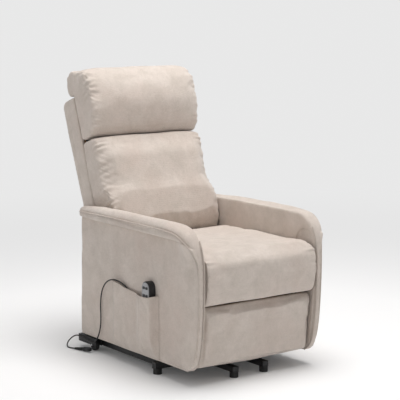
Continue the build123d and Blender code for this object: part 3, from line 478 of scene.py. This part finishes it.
def piping(name, route, radius, body):
    """A sewn bead along a seam, in the darker copy of the cover fabric that paints the seam's
    shade.
    """
    curve = round_line(name, route, radius, 5, 2)
    mesh = bpy.data.meshes.new_from_object(
        curve.evaluated_get(bpy.context.evaluated_depsgraph_get()))
    bpy.data.objects.remove(curve)
    return make_piece(name, mesh, body, PIPING_PAINTED_SHADE)


def turned(name, start, heading, outline, material, node):
    """A round piece on the cord: (distance, radius) pairs turned about a line."""
    sides = 32
    start, axis = Vector(start), Vector(heading).normalized()
    across = axis.orthogonal().normalized()
    other = axis.cross(across)
    points, faces = [], []
    for distance, radius in outline:
        for index in range(sides):
            angle = 2 * pi * index / sides
            points.append(start + axis * distance
                          + (across * cos(angle) + other * sin(angle)) * radius)
    for ring in range(len(outline) - 1):
        for index in range(sides):
            nxt = (index + 1) % sides
            faces.append((ring * sides + index, ring * sides + nxt,
                          (ring + 1) * sides + nxt, (ring + 1) * sides + index))
    faces.append(tuple(reversed(range(sides))))
    faces.append(tuple(range((len(outline) - 1) * sides, len(outline) * sides)))
    piece = make_piece(name, mesh_of(name, points, faces), "chassis", material)
    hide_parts(node)
    return piece


# ---- Handset's lead -------------------------------------------------------------------
CORD_ROUTE = [
    (-0.2953, -0.185, 0.172), (-0.2953, -0.185, 0.148), (-0.294, -0.170, 0.126),
    (-0.292, -0.144, 0.118), (-0.289, -0.118, 0.127), (-0.2874, -0.098, 0.152),
    (-0.287, -0.085, 0.186), (-0.287, -0.073, 0.222), (-0.2868, -0.058, 0.256),
    (-0.2868, -0.037, 0.286), (-0.292, -0.008, 0.306), (-0.299, 0.028, 0.314),
    (-0.302, 0.064, 0.309), (-0.300, 0.098, 0.292), (-0.296, 0.126, 0.265),
    (-0.292, 0.145, 0.231), (-0.290, 0.152, 0.192), (-0.290, 0.150, 0.153),
    (-0.290, 0.152, 0.115), (-0.292, 0.160, 0.082), (-0.295, 0.174, 0.056),
    (-0.295, 0.196, 0.040), (-0.292, 0.228, 0.036), (-0.291, 0.262, 0.0395),
    (-0.2905, 0.296, 0.0425), (-0.290, 0.329, 0.0445), (-0.3034, 0.347, 0.0323),
    (-0.3223, 0.347, 0.0152), (-0.3357, 0.329, 0.0031), (-0.3335, 0.3022, 0.00277),
    (-0.3283, 0.283, 0.0048)]
CORD_LENGTH, CORD_THICKNESS = 0.96, 0.005
PLUG_HEADING = (23.0, -85.0, 9.0)       # from the plug's strain relief to its tip
RELIEF_LENGTH = 0.048

# (distance along the piece, radius) of the plug and of the gland at the handset
PLUG_OUTLINE = [
    (0.0, 0.0062), (0.0012, 0.0078), (0.003, 0.0084), (0.009, 0.0085), (0.0095, 0.0079),
    (0.0115, 0.0079), (0.012, 0.0085), (0.0145, 0.0085), (0.015, 0.0079), (0.017, 0.0079),
    (0.0175, 0.0085), (0.031, 0.0085), (0.0335, 0.0081), (0.034, 0.0066), (0.038, 0.0064),
    (0.038, 0.0048), (0.033, 0.0046)]
GLAND_OUTLINE = [
    (0.0, 0.0028), (0.0008, 0.0036), (0.004, 0.0039), (0.0045, 0.0034), (0.006, 0.0034),
    (0.0065, 0.0043), (0.0095, 0.0046), (0.010, 0.0040), (0.0115, 0.0040), (0.012, 0.0050),
    (0.017, 0.0055), (0.018, 0.0054)]


def relief_outline():
    """Seven ribs that grow towards the plug."""
    pitch, growth = 0.0062, 0.00036
    outline = [(0.0, 0.0030), (0.001, 0.0035)]
    for rib in range(7):
        place, size = 0.002 + rib * pitch, 0.0042 + rib * growth
        outline += [(place, size), (place + 0.0036, size + 0.0002),
                    (place + 0.0042, size - 0.0012), (place + 0.0056, size - 0.0011)]
    return outline + [(0.0460, 0.0064), (RELIEF_LENGTH, 0.0066)]


def make_lead():
    lead = round_line("handset_lead", CORD_ROUTE, CORD_THICKNESS / 2, 8, 5)
    lead.data.materials.append(LEAD)
    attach(lead, "chassis")
    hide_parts("handset_cord")
    foot = Vector(CORD_ROUTE[-1])
    plug_start = foot + Vector(PLUG_HEADING).normalized() * RELIEF_LENGTH
    relief = turned("strain_relief", foot, PLUG_HEADING, relief_outline(), RUBBER,
                    "plug_strain_relief")
    plug = turned("lead_plug", plug_start, PLUG_HEADING, PLUG_OUTLINE, BLACK, "cord_plug")
    gland = turned("lead_gland", CORD_ROUTE[0], (0, 0, 1), GLAND_OUTLINE, RUBBER, "cord_gland")


make_lead()
dress_nodes()


# ---- Back: places along its lean ------------------------------------------------------
HINGE_Y, HINGE_Z, LEAN = 0.103, 0.300, radians(19.0)
REAR_SWELL = 0.009                      # the shell's rear stands out this much near its top
SIDES = ((-1, "right"), (1, "left"))


def to_back(points):
    y, z = points[:, 1] - HINGE_Y, points[:, 2] - HINGE_Z
    return np.stack([points[:, 0], y * cos(LEAN) - z * sin(LEAN),
                     y * sin(LEAN) + z * cos(LEAN)], axis=1)


def from_back(points):
    depth, height = points[:, 1], points[:, 2]
    return np.stack([points[:, 0], HINGE_Y + depth * cos(LEAN) + height * sin(LEAN),
                     HINGE_Z - depth * sin(LEAN) + height * cos(LEAN)], axis=1)


def edit_back(piece, change):
    """Applies change(points) in the back's own directions."""
    mesh = piece.data
    set_points(mesh, from_back(change(to_back(points_of(mesh)))))


def padded_front(full, held, edge, inner):
    """The cover swells in front of depth full, and not behind held, where its frame holds it.

    The swelling grows from nothing at the edge, next to the other cushion, to all at inner.
    """
    def free(points):
        _, depth, height = to_back(points).T
        return (1 - smoothstep(depth, full, held)) * smoothstep(height, edge, inner)
    return free


def gusset_seams(piece, width, front, rear, low, high, seed):
    """The two seams of the side gussets, with the puckers that their gathering leaves."""
    points = to_back(points_of(piece.data))
    x, depth, height = points.T
    side = np.abs(x)
    ends = smoothstep(height, low - 0.03, low) * (1 - smoothstep(height, high, high + 0.03))
    gap = np.hypot(side - width, depth - front)
    behind = np.hypot(side - width, depth - rear)
    share = np.where(x < 0, 1.0, 0.7) * ends
    ripple = (waves(height + 0.35 * depth, 0.031, seed)
              + 0.5 * waves(height - depth, 0.019, seed + 2))
    dimple = near_line(gap, 0.028) * ripple * 0.0046
    rear_ripple = near_line(behind, 0.020) * waves(height, 0.036, seed + 4) * 0.0012
    groove = near_line(gap, 0.0042) * 0.0032 + near_line(behind, 0.0040) * 0.0026
    push(piece, (dimple + rear_ripple) * share - groove * ends)


def make_back_cushion():
    width, top, low = 0.244, 0.549, 0.130
    front_limit, shell_front = -0.080, 0.0676
    piece = from_node("back_cushion_cover", "back", "back_cushion", 0.0075)

    def shape(points):
        x, depth, height = points.T
        side = np.clip(np.abs(x) / width, 0, 1)
        front = 1 - smoothstep(depth, -0.045, 0.05)
        drop = (0.014 * smoothstep(height, 0.24, 0.40) + 0.002) * side ** 6 * front
        wide = 1.0 + 0.022 * smoothstep(height, 0.27, 0.33)
        corner = (side ** 10) * 0.005
        height = height - corner * smoothstep(height, 0.48, top)
        lumbar = 0.008 * near_line(height - 0.27, 0.09) * front
        return np.stack([x * wide, depth + drop + 0.002 * front - lumbar, height], axis=1)

    edit_back(piece, shape)
    relax(piece, 2)
    inflate(piece, 4.0, 0.024, padded_front(-0.030, 0.040, 0.548, 0.450), 0.15)

    def settle(points):
        x, depth, height = points.T
        reach = width + 0.0004 + 0.0055 * smoothstep(height, 0.29, 0.33)
        x = soft_limit(x / reach, -1.0, 1.0, 0.008) * reach
        depth = soft_limit(depth, front_limit, shell_front, 0.002)
        height = soft_limit(height, low, top + 0.0012, 0.0015)
        return np.stack([x, depth, height], axis=1)

    edit_back(piece, settle)
    subdivide(piece)
    relax(piece, 2)
    push(piece, clouds(points_of(piece.data), 0.22, 1.0) * 0.0016)
    gusset_seams(piece, 0.243, -0.036, 0.064, 0.19, 0.525, 1.4)
    edit_back(piece, settle)


def make_headrest():
    width, foot, crown = 0.246, 0.5525, 0.832
    front_limit, rear, shell_front, shell_top = -0.090, 0.108, 0.0677, 0.736
    piece = from_node("headrest_cover", "back", "headrest", 0.0075)

    def shape(points):
        x, depth, height = points.T
        side = np.clip(np.abs(x) / width, 0, 1)
        front = 1 - smoothstep(depth, -0.05, 0.05)
        drop = 0.013 * side ** 6 * front
        top = smoothstep(height, 0.72, 0.826)
        crown = 0.011 * side ** 5 * top
        rear = 0.007 * smoothstep(depth, 0.07, 0.10) * smoothstep(height, 0.735, 0.76)
        lift = 0.024 * smoothstep(depth, 0.015, 0.085) * smoothstep(height, 0.740, 0.785)
        tuck = 0.014 * (1 - smoothstep(height, 0.555, 0.67)) * front
        return np.stack([x * 1.014, depth + drop + 0.002 * front + rear + tuck,
                         height - crown * (1 - smoothstep(depth, 0.0, 0.06)) + lift], axis=1)

    edit_back(piece, shape)
    relax(piece, 2)
    inflate(piece, 4.0, 0.024, padded_front(-0.020, 0.055, 0.552, 0.680), 0.15)

    def settle(points):
        x, depth, height = points.T
        x = soft_limit(x, -width - 0.003, width + 0.003, 0.002)
        height = soft_limit(height, foot, crown, 0.0015)
        beside_shell = height < shell_top - 0.004
        depth = np.where(beside_shell, np.minimum(depth, shell_front), depth)
        on_shell = (height > shell_top - 0.0055) & (height < shell_top) & (depth > 0.066)
        height = np.where(on_shell, shell_top, height)
        depth = soft_limit(depth, front_limit, rear, 0.004)
        return np.stack([x, depth, height], axis=1)

    edit_back(piece, settle)
    subdivide(piece)
    relax(piece, 2)
    push(piece, clouds(points_of(piece.data), 0.19, 2.2) * 0.0016)
    gusset_seams(piece, 0.244, -0.040, 0.066, 0.60, 0.79, 4.1)
    points = to_back(points_of(piece.data))
    arch = near_line(np.hypot(np.abs(points[:, 0]) - 0.243, points[:, 2] - 0.798), 0.0045)
    lower = near_line(np.hypot(points[:, 1] + 0.038, points[:, 2] - 0.566), 0.0045)
    pucker = near_line(np.hypot(np.abs(points[:, 0]) - 0.240, points[:, 2] - 0.796), 0.026)
    push(piece, pucker * waves(points[:, 1], 0.028, 2.0) * 0.0026 - arch * 0.003 - lower * 0.0018)
    edit_back(piece, settle)


def make_back_shell():
    """Upholstered shell behind the cushions, its rear panel sewn in with a welt."""
    piece = from_node("back_shell_cover", "back", "back_shell", 0.006)

    def shape(points):
        x, depth, height = points.T
        rise = smoothstep(height, 0.25, 0.68)
        back = smoothstep(depth, 0.10, 0.15)
        return np.stack([x * (1 + 0.014 * rise), depth + REAR_SWELL * rise * back, height],
                        axis=1)

    edit_back(piece, shape)
    relax(piece, 2)
    points = to_back(points_of(piece.data))
    x, depth, height = points.T
    rear = smoothstep(depth, 0.140, 0.150) * (1 - smoothstep(height, 0.70, 0.72))
    middle = (1 - (np.abs(x) / 0.244) ** 3).clip(0, 1)
    span = np.sin(pi * np.clip((height - 0.085) / 0.645, 0, 1))
    fold = waves(height + 0.4 * np.abs(x), 0.11, 3.3) * near_line(np.abs(x) - 0.20, 0.05)
    push(piece, rear * (0.004 * middle * span + 0.0008 * fold)
         + clouds(points, 0.25, 5.0) * 0.0007)
    subdivide(piece)
    points = to_back(points_of(piece.data))
    x, depth, height = points.T
    on_rear = smoothstep(depth, 0.132, 0.142)
    welt = np.minimum(np.abs(np.abs(x) - 0.222), np.abs(height - 0.700))
    inside = (np.abs(x) < 0.226) & (height < 0.706)
    side_seam = near_line(depth - 0.128, 0.003) * (np.abs(x) > 0.24)
    push(piece, -near_line(welt, 0.0035) * 0.0028 * on_rear * inside - side_seam * 0.0022
         + near_line(welt, 0.016) * on_rear * inside * waves(height + x, 0.05, 2.0) * 0.0009)
    heights = 0.10 + np.arange(11) * 0.0588
    depths = 0.1560 + REAR_SWELL * smoothstep(heights, 0.25, 0.68)
    for side, word in SIDES:
        route = np.stack([np.full(11, side * 0.2240), depths, heights], axis=1)
        piping(f"shell_welt_{word}", from_back(route), 0.0024, "back")


# ---- Seat -----------------------------------------------------------------------------
def seat_free(points):
    """The top and the front roll swell; the rear, the bottom and the front hem are held."""
    _, y, z = points.T
    above = smoothstep(z, 0.30, 0.40)
    return above * (1 - smoothstep(y, 0.02, 0.08))


def make_seat_cushion():
    width, lap = 0.2435, 0.017          # the front roll laps over the strips beside it
    front_limit, rear, foot, crown = -0.496, 0.100, 0.2865, 0.474
    piece = from_node("seat_cushion_cover", "chassis", "seat_cushion", 0.008)
    points = points_of(piece.data)
    x, y, z = points.T
    side = np.clip(np.abs(x) / width, 0, 1)
    top = smoothstep(z, 0.40, 0.46)
    front = 1 - smoothstep(y, -0.47, -0.38)
    roll = 0.3 + 0.7 * smoothstep(z, 0.30, 0.36)
    z = z + (0.006 * side ** 4 - 0.004) * top
    y = y + (0.002 * side ** 8 - 0.013 * roll) * front
    set_points(piece.data, np.stack([x * 1.004, y, z], axis=1))
    relax(piece, 3)
    inflate(piece, 4.0, 0.015, seat_free, 0.15)

    def settle():
        x, y, z = points_of(piece.data).T
        lip = (1 - smoothstep(y, -0.484, -0.4765)) * smoothstep(z, 0.300, 0.365)
        reach = width + lap * lip
        x = soft_limit(x * (1.02 + 0.08 * lip) / reach, -1.0, 1.0, 0.008) * reach
        y = soft_limit(y, front_limit, rear, 0.002)
        z = soft_limit(z, foot, crown, 0.003)
        set_points(piece.data, np.stack([x, y, z], axis=1))

    settle()
    subdivide(piece)
    relax(piece, 2)
    x, y, z = points_of(piece.data).T
    facing = 1 - smoothstep(y, -0.47, -0.30)
    border = np.abs(np.abs(x) - 0.238)
    seam = near_line(border, 0.0035) * facing * 0.0020
    gather = (near_line(np.hypot(np.abs(x) - 0.236, z - 0.425), 0.034)
              * waves(z + 0.6 * y, 0.026, 1.1) * 0.0040 * facing)
    low = near_line(z - 0.300, 0.010) * facing * waves(x, 0.055, 4.0) * 0.0007
    dent = near_line(np.hypot(x, y + 0.12), 0.16) * smoothstep(z, 0.44, 0.46) * 0.003
    push(piece, clouds(points_of(piece.data), 0.26, 3.0) * 0.0018 + gather - seam + low - dent)
    settle()


def upright(y, z):
    """y as it would be if the leg rest's sloping front stood upright under its top edge."""
    slope, top_edge = 0.11, 0.281
    return y - slope * (top_edge - z)


def make_footrest():
    width, front_limit = 0.2445, -0.4570
    piece = from_node("leg_rest_cover", "footrest", "footrest_pad", 0.006)
    points = points_of(piece.data)
    x, y, z = points.T
    side = np.clip(np.abs(x) / width, 0, 1)
    front = 1 - smoothstep(upright(y, z), -0.440, -0.425)
    y = y + 0.002 * side ** 8 * front
    z = z + 0.008 * side ** 2 * (1 - smoothstep(z, 0.06, 0.11))
    set_points(piece.data, np.stack([x * 1.004, y, z], axis=1))
    relax(piece, 2)

    def free(points):
        return 1 - smoothstep(upright(points[:, 1], points[:, 2]), -0.440, -0.425)

    inflate(piece, 3.0, 0.012, free, 0.1)

    def settle():
        x, y, z = points_of(piece.data).T
        x = soft_limit(x, -width, width, 0.0015)
        z = soft_limit(z, 0.050, 0.2845, 0.002)
        y = np.maximum(y, y - upright(y, z) + front_limit)
        set_points(piece.data, np.stack([x, y, z], axis=1))

    settle()
    subdivide(piece)
    relax(piece, 1)
    x, y, z = points_of(piece.data).T
    facing = 1 - smoothstep(upright(y, z), -0.445, -0.432)
    edge = near_line(np.abs(x) - 0.2345, 0.0032) * facing * 0.0022
    pucker = near_line(np.abs(x) - 0.230, 0.014) * facing * waves(z, 0.034, 5.0) * 0.0007
    push(piece, clouds(points_of(piece.data), 0.21, 6.0) * 0.0010 + pucker - edge)
    settle()


# ---- Sides and arms -------------------------------------------------------------------
# Along each arm from its rear tip to the front strip's lower end: the crest's y and z, the
# outer edge's x, how far the arm has become the flat strip, and the inner side's depth.
ARM_STATIONS = [
    (0.321, 0.549, 0.2860, 0.00, 0.100), (0.300, 0.556, 0.2915, 0.00, 0.115),
    (0.200, 0.566, 0.3070, 0.00, 0.128), (0.110, 0.5715, 0.3190, 0.00, 0.133),
    (0.000, 0.573, 0.3225, 0.00, 0.133), (-0.150, 0.573, 0.3225, 0.00, 0.133),
    (-0.300, 0.573, 0.3225, 0.00, 0.133), (-0.345, 0.5715, 0.3222, 0.02, 0.128),
    (-0.385, 0.566, 0.3205, 0.08, 0.110), (-0.412, 0.554, 0.3170, 0.18, 0.080),
    (-0.433, 0.536, 0.3115, 0.34, 0.055), (-0.448, 0.513, 0.3020, 0.54, 0.036),
    (-0.458, 0.487, 0.2915, 0.74, 0.025), (-0.4655, 0.458, 0.2830, 0.89, 0.019),
    (-0.4700, 0.425, 0.2785, 0.98, 0.016), (-0.4715, 0.385, 0.2770, 1.00, 0.016),
    (-0.4710, 0.340, 0.2765, 1.00, 0.016), (-0.4680, 0.265, 0.2765, 1.00, 0.016),
    (-0.4620, 0.190, 0.2765, 1.00, 0.016), (-0.4530, 0.130, 0.2765, 1.00, 0.016),
    (-0.4410, 0.090, 0.2765, 1.00, 0.016), (-0.4250, 0.066, 0.2765, 1.00, 0.015),
    (-0.4050, 0.0545, 0.2765, 1.00, 0.012), (-0.3850, 0.0515, 0.2765, 1.00, 0.010)]
# Corners (x, height from the crest) of the arm's and the strip's cross-sections, joined into one
# loft. None stands for the station's inner depth.
ARM_SECTION = [(0.2464, None), (0.2464, -0.006), (0.2560, 0.000), (0.3000, -0.001),
               (0.3225, -0.018), (0.3215, -0.050), (0.2565, -0.0525), (0.2565, None)]
STRIP_SECTION = [(0.2524, -0.016), (0.2524, -0.004), (0.2560, 0.000), (0.2735, 0.000),
                 (0.2765, -0.004), (0.2765, -0.016), (0.2680, -0.016), (0.2600, -0.016)]


def arm_stations(count):
    """The stations resampled smoothly, with the crest line's direction at each."""
    rows = np.array(ARM_STATIONS)
    run = np.concatenate([[0], np.cumsum(np.hypot(*np.diff(rows[:, :2], axis=0).T))])
    at = np.linspace(0, run[-1], count)
    rows = np.stack([np.interp(at, run, rows[:, k]) for k in range(5)], axis=1)
    for _ in range(3):
        rows[1:-1] = rows[1:-1] * 0.5 + (rows[:-2] + rows[2:]) * 0.25
    heading = np.gradient(rows[:, :2], axis=0)
    heading /= np.linalg.norm(heading, axis=1, keepdims=True)
    return rows, heading


def arm_section(outer, share, leg):
    """Cross-section (x, height under the crest) between the arm's and the strip's."""
    arm = np.array([(x, -leg if z is None else z) for x, z in ARM_SECTION])
    arm[:, 1] = np.maximum(arm[:, 1], -max(leg, 0.030))
    strip = np.array(STRIP_SECTION)
    corners = arm * (1 - share) + strip * share
    low, high = corners[:, 0].min(), corners[:, 0].max()
    stretch = (outer - low) / (high - low)
    grow = corners[:, 0] > 0.2570
    corners[grow, 0] = low + (corners[grow, 0] - low) * stretch
    for _ in range(2):
        nxt = np.roll(corners, -1, axis=0)
        corners = np.stack([corners * 0.75 + nxt * 0.25, corners * 0.25 + nxt * 0.75],
                           axis=1).reshape(-1, 2)
    return corners


def flare(y, z):
    """How far the panel's upper front corner runs out to meet the arm's lip."""
    rise = np.clip((z - 0.425) / 0.095, 0, 1) ** 1.6
    return 0.036 * rise * (1 - smoothstep(y, -0.42, -0.33))


def front_corner(y, z, inset):
    """Draws the panel back behind the strip's line, round at its foot."""
    rows = np.array(ARM_STATIONS)[10:]
    line = np.interp(-z, -rows[:, 1], rows[:, 0]) + inset
    return np.maximum(y, line)


def make_side_panel(side, word):
    piece = from_node(f"side_cover_{word}", "chassis", f"side_panel_{word}", 0.0055)
    relax(piece, 3)
    x, y, z = points_of(piece.data).T
    outer = smoothstep(np.abs(x), 0.262, 0.280)
    x = x + side * (flare(y, z) - 0.006 * (1 - smoothstep(y, -0.46, -0.40))) * outer
    y = np.where(z < 0.50, front_corner(y, z, 0.004), y + 0.006 * (y < -0.42))
    set_points(piece.data, np.stack([x, y, z], axis=1))
    subdivide(piece)
    relax(piece, 1)
    x, y, z = points_of(piece.data).T
    outer = smoothstep(np.abs(x), 0.272, 0.280)
    lean = z - 0.55 * y
    folds = (near_line(lean - 0.30, 0.05) * waves(y - 0.6 * z, 0.17, 1.0 + side)
             + 0.8 * near_line(z - 0.49, 0.04) * waves(y, 0.13, 2.0 + side))
    hem = near_line(z - 0.064, 0.0028) * outer
    push(piece, outer * (0.0014 * folds + 0.0009 * clouds(np.stack([x, y, z], axis=1), 0.28, 7.0))
         - 0.0016 * hem)
    x, y, z = points_of(piece.data).T
    inner_face = 0.2525
    set_points(piece.data, np.stack([side * np.maximum(np.abs(x), inner_face), y, z], axis=1))


def make_side_lining():
    """Cover drawn round the side boards, seen beside the seat and above it."""
    piece = from_node("side_lining", "chassis", "side_boards", 0.0055)
    relax(piece, 1)
    x, y, z = points_of(piece.data).T
    push(piece, 0.0006 * clouds(np.stack([x, y, z], axis=1), 0.2, 11.0))
    x, y, z = points_of(piece.data).T
    inside = np.clip(np.abs(x), 0.2522, 0.2676)
    y = np.where(z < 0.50, front_corner(y, z, 0.010), y)
    set_points(piece.data, np.stack([np.sign(x) * inside, y, z], axis=1))


def make_arm(side, word):
    """Padded arm that narrows at its front and runs down the panel's edge as a strip."""
    rows, heading = arm_stations(150)
    points, faces = [], []
    for (y, z, outer, share, leg), (along_y, along_z) in zip(rows, heading):
        for x, rise in arm_section(outer, share, leg):
            points.append((side * x, y + rise * along_z, z - rise * along_y))
    ring = len(points) // len(rows)
    for row in range(len(rows) - 1):
        for k in range(ring):
            a, b = row * ring + k, row * ring + (k + 1) % ring
            faces.append((a, b, b + ring, a + ring)[::side])
    faces.append(tuple(range(ring))[::-side])
    faces.append(tuple(range(len(points) - ring, len(points)))[::side])
    name = f"arm_cover_{word}"
    piece = make_piece(name, mesh_of(name, points, faces), "chassis", FABRIC)
    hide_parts(f"arm_pad_{word}")
    remesh(piece, 0.005)
    relax(piece, 3)
    inflate(piece, 3.0, 0.006, lambda rest: smoothstep(np.abs(rest[:, 0]), 0.250, 0.262))
    subdivide(piece)
    relax(piece, 1)
    x, y, z = points_of(piece.data).T
    seam_points = outer_seam(rows, heading)
    gap = nearest(np.stack([np.abs(x), y, z], axis=1), seam_points)
    pucker = near_line(gap, 0.015) * waves(y - z, 0.040, 3.0 + side) * 0.0006
    sag = near_line(np.abs(x) - 0.285, 0.03) * waves(y, 0.16, 1.0 + side) * (z > 0.555) * 0.0012
    push(piece, pucker + sag - 0.0020 * near_line(gap, 0.0045)
         + 0.0007 * clouds(np.stack([x, y, z], axis=1), 0.17, 8.0))
    x, y, z = points_of(piece.data).T
    inner_face, panel_face, panel_top = 0.2462, 0.2580, 0.5201
    reach = np.maximum(np.abs(x), inner_face)
    over_panel = (reach > panel_face) & (y > -0.33)
    z = np.where(over_panel, np.maximum(z, panel_top), z)
    set_points(piece.data, np.stack([side * reach, y, z], axis=1))
    route = seam_points * np.array([side, 1, 1])
    piping(f"arm_piping_{word}", route[2:-1:3], 0.0026, "chassis")
    start = int(np.argmax(rows[:, 3] > 0.45))
    inner = [(side * 0.2545, y - 0.0005, z) for y, z in rows[start:, :2]]
    piping(f"strip_piping_{word}", inner[::3], 0.0023, "chassis")


def outer_seam(rows, heading):
    """The piping's line: along the arm's outer lip, then down the strip's outer edge."""
    line = []
    for (y, z, outer, share, leg), (along_y, along_z) in zip(rows, heading):
        section = arm_section(outer, share, leg)
        x, rise = section[np.argmax(section[:, 0] + 0.3 * section[:, 1])]
        line.append((x + 0.0004, y + rise * along_z, z - rise * along_y))
    line = np.array(line)
    for _ in range(12):
        line[1:-1] = line[1:-1] * 0.5 + (line[:-2] + line[2:]) * 0.25
    return line


def nearest(points, line):
    """Each point's distance from a line given by close points."""
    best = np.full(len(points), 1.0)
    for place in line:
        best = np.minimum(best, ((points - place) ** 2).sum(axis=1))
    return np.sqrt(best)


def make_rear_apron():
    piece = from_node("rear_apron_cover", "chassis", "rear_apron", 0.005)
    relax(piece, 3)
    subdivide(piece)
    x, y, z = points_of(piece.data).T
    hem = near_line(z - 0.072, 0.0028) + near_line(z - 0.212, 0.0028)
    rear = smoothstep(y, 0.294, 0.299)
    push(piece, rear * (0.0010 * clouds(np.stack([x, y, z], axis=1), 0.2, 9.0) - 0.0014 * hem))


# ---- Pocket ---------------------------------------------------------------------------
# The mouth's line as (y, z), and the sheet's other edges.
MOUTH = [(-0.232, 0.2955), (-0.215, 0.290), (-0.200, 0.286), (-0.167, 0.2855), (-0.121, 0.2835),
         (-0.075, 0.2865), (-0.021, 0.2925), (0.026, 0.302), (0.068, 0.3035), (0.076, 0.3030)]
POCKET_FRONT, POCKET_REAR, POCKET_FOOT = -0.232, 0.0755, 0.058
PANEL_FACE = -0.2823
POCKET_CLOTH = 0.0022


def pocket_stand(y, z):
    """How far the pocket stands off the panel: out round the handset, nearly flat behind it."""
    front = smoothstep(y, POCKET_FRONT, -0.214)
    behind = 1 - smoothstep(y, -0.160, -0.088)
    flat = 1 - smoothstep(y, 0.055, POCKET_REAR)
    stand = (0.0225 * front * behind * smoothstep(z, 0.062, 0.150)
             + 0.0095 * front * flat * smoothstep(z, 0.057, 0.085))
    crease = near_line(y + 0.141 + 0.02 * (0.28 - z), 0.007) * (1 - smoothstep(z, 0.27, 0.30))
    fold = near_line(y + 0.02 + 0.42 * (0.30 - z), 0.020) * smoothstep(z, 0.08, 0.14)
    stand = stand - 0.0035 * crease * smoothstep(z, 0.06, 0.09) + 0.0016 * fold
    return np.clip(stand, 0.0012, 0.0325)


def make_pocket():
    """Sewn pocket, one sheet of cloth with a hem along its mouth."""
    columns, rows = 110, 90
    y = np.linspace(POCKET_FRONT, POCKET_REAR, columns)
    smoothing = np.ones(7) / 7
    mouth = np.interp(y, *np.array(MOUTH).T)
    mouth = np.convolve(np.pad(mouth, 3, mode="edge"), smoothing, mode="valid")
    yy, share = np.meshgrid(y, np.linspace(0, 1, rows))
    zz = POCKET_FOOT + (mouth[None, :] - POCKET_FOOT) * share
    stand = pocket_stand(yy, zz)
    outer = np.stack([PANEL_FACE - stand, yy, zz], axis=-1).reshape(-1, 3)
    faces = []
    for row in range(rows - 1):
        for column in range(columns - 1):
            a = row * columns + column
            faces.append((a, a + columns, a + columns + 1, a + 1))
    mesh = mesh_of("pocket_cover", [tuple(point) for point in outer], faces)
    piece = make_piece("pocket_cover", mesh, "chassis", FABRIC)
    solid = piece.modifiers.new("thickness", "SOLIDIFY")
    solid.thickness = POCKET_CLOTH
    solid.offset = -1.0 if normals_of(mesh)[:, 0].mean() < 0 else 1.0
    bake_modifiers(piece)
    x, y_all, z_all = points_of(piece.data).T
    inside = np.minimum(x, PANEL_FACE - 0.00005)
    set_points(piece.data, np.stack([inside, y_all, z_all], axis=1))
    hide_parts("handset_pocket")
    rim = [(PANEL_FACE - 0.0012 - float(np.interp(at, y, stand[-1])), float(at),
            float(np.interp(at, y, mouth))) for at in np.linspace(-0.228, 0.072, 26)]
    piping("pocket_hem", rim, 0.0016, "chassis")


make_back_cushion()
make_headrest()
make_back_shell()
make_seat_cushion()
make_footrest()
make_side_lining()
for hand, hand_word in SIDES:
    make_side_panel(hand, hand_word)
    make_arm(hand, hand_word)
make_rear_apron()
make_pocket()


# ---- Studio ---------------------------------------------------------------------------
FLOOR_RADIUS = 400.0
FADE_START, FADE_END = 1.3, 4.6         # distances between which the floor becomes backdrop
BACKDROP = (0.81, 0.81, 0.81)


def make_floor():
    """A lit floor that fades to an even backdrop with the distance from the chair."""
    data = bmesh.new()
    bmesh.ops.create_circle(data, cap_ends=True, radius=FLOOR_RADIUS, segments=96)
    mesh = bpy.data.meshes.new("floor")
    data.to_mesh(mesh)
    data.free()
    floor = bpy.data.objects.new("floor", mesh)
    scene.collection.objects.link(floor)
    n = Nodes("studio_floor")
    distance = n.add("ShaderNodeVectorMath", operation="LENGTH")
    n.join(n.place, distance.inputs[0])
    far = n.spread(distance.outputs["Value"], FADE_START, FADE_END)
    far = n.math("MULTIPLY", far, n.math("SUBTRACT", 2.0, far))
    grain = n.spread(n.noise(3.0, 2.0), 0.3, 0.7, 0.0, 0.05)
    colour = n.mix(grain, (0.865, 0.865, 0.865), (0.81, 0.81, 0.81))
    n.join(n.mix(far, (0.04, 0.04, 0.04), BACKDROP), n.shader.inputs["Emission Color"])
    n.shader.inputs["Emission Strength"].default_value = 1.0
    n.finish(n.mix(far, colour, (0.0, 0.0, 0.0)), 0.8,
             n.bump(n.noise(60.0, 2.0), 0.02, 0.0005), Specular_IOR_Level=0.0)
    mesh.materials.append(n.material)


def area_light(name, place, target, size, power, tint):
    data = bpy.data.lights.new(name, "AREA")
    data.shape = "SQUARE"
    data.size = size
    data.energy = power
    data.color = tint
    light = bpy.data.objects.new(name, data)
    light.location = place
    light.rotation_euler = (Vector(target) - Vector(place)).to_track_quat("-Z", "Y").to_euler()
    scene.collection.objects.link(light)


def make_studio():
    make_floor()
    world = bpy.data.worlds.new("studio")
    scene.world = world
    world.use_nodes = True
    background = world.node_tree.nodes["Background"]
    background.inputs["Color"].default_value = (0.86, 0.865, 0.875, 1.0)
    background.inputs["Strength"].default_value = 0.45
    warm, white = (1.0, 0.985, 0.975), (1.0, 1.0, 1.0)
    area_light("key", (0.3, -0.3, 4.4), (0, 0, 0.5), 2.8, 163.0, warm)
    area_light("front", (3.0, -4.2, 2.4), (0, 0, 0.5), 2.6, 8.0, white)
    area_light("side", (-4.6, 0.2, 2.4), (0, 0, 0.6), 2.4, 8.0, white)
    scene.view_settings.view_transform = "Standard"


make_studio()
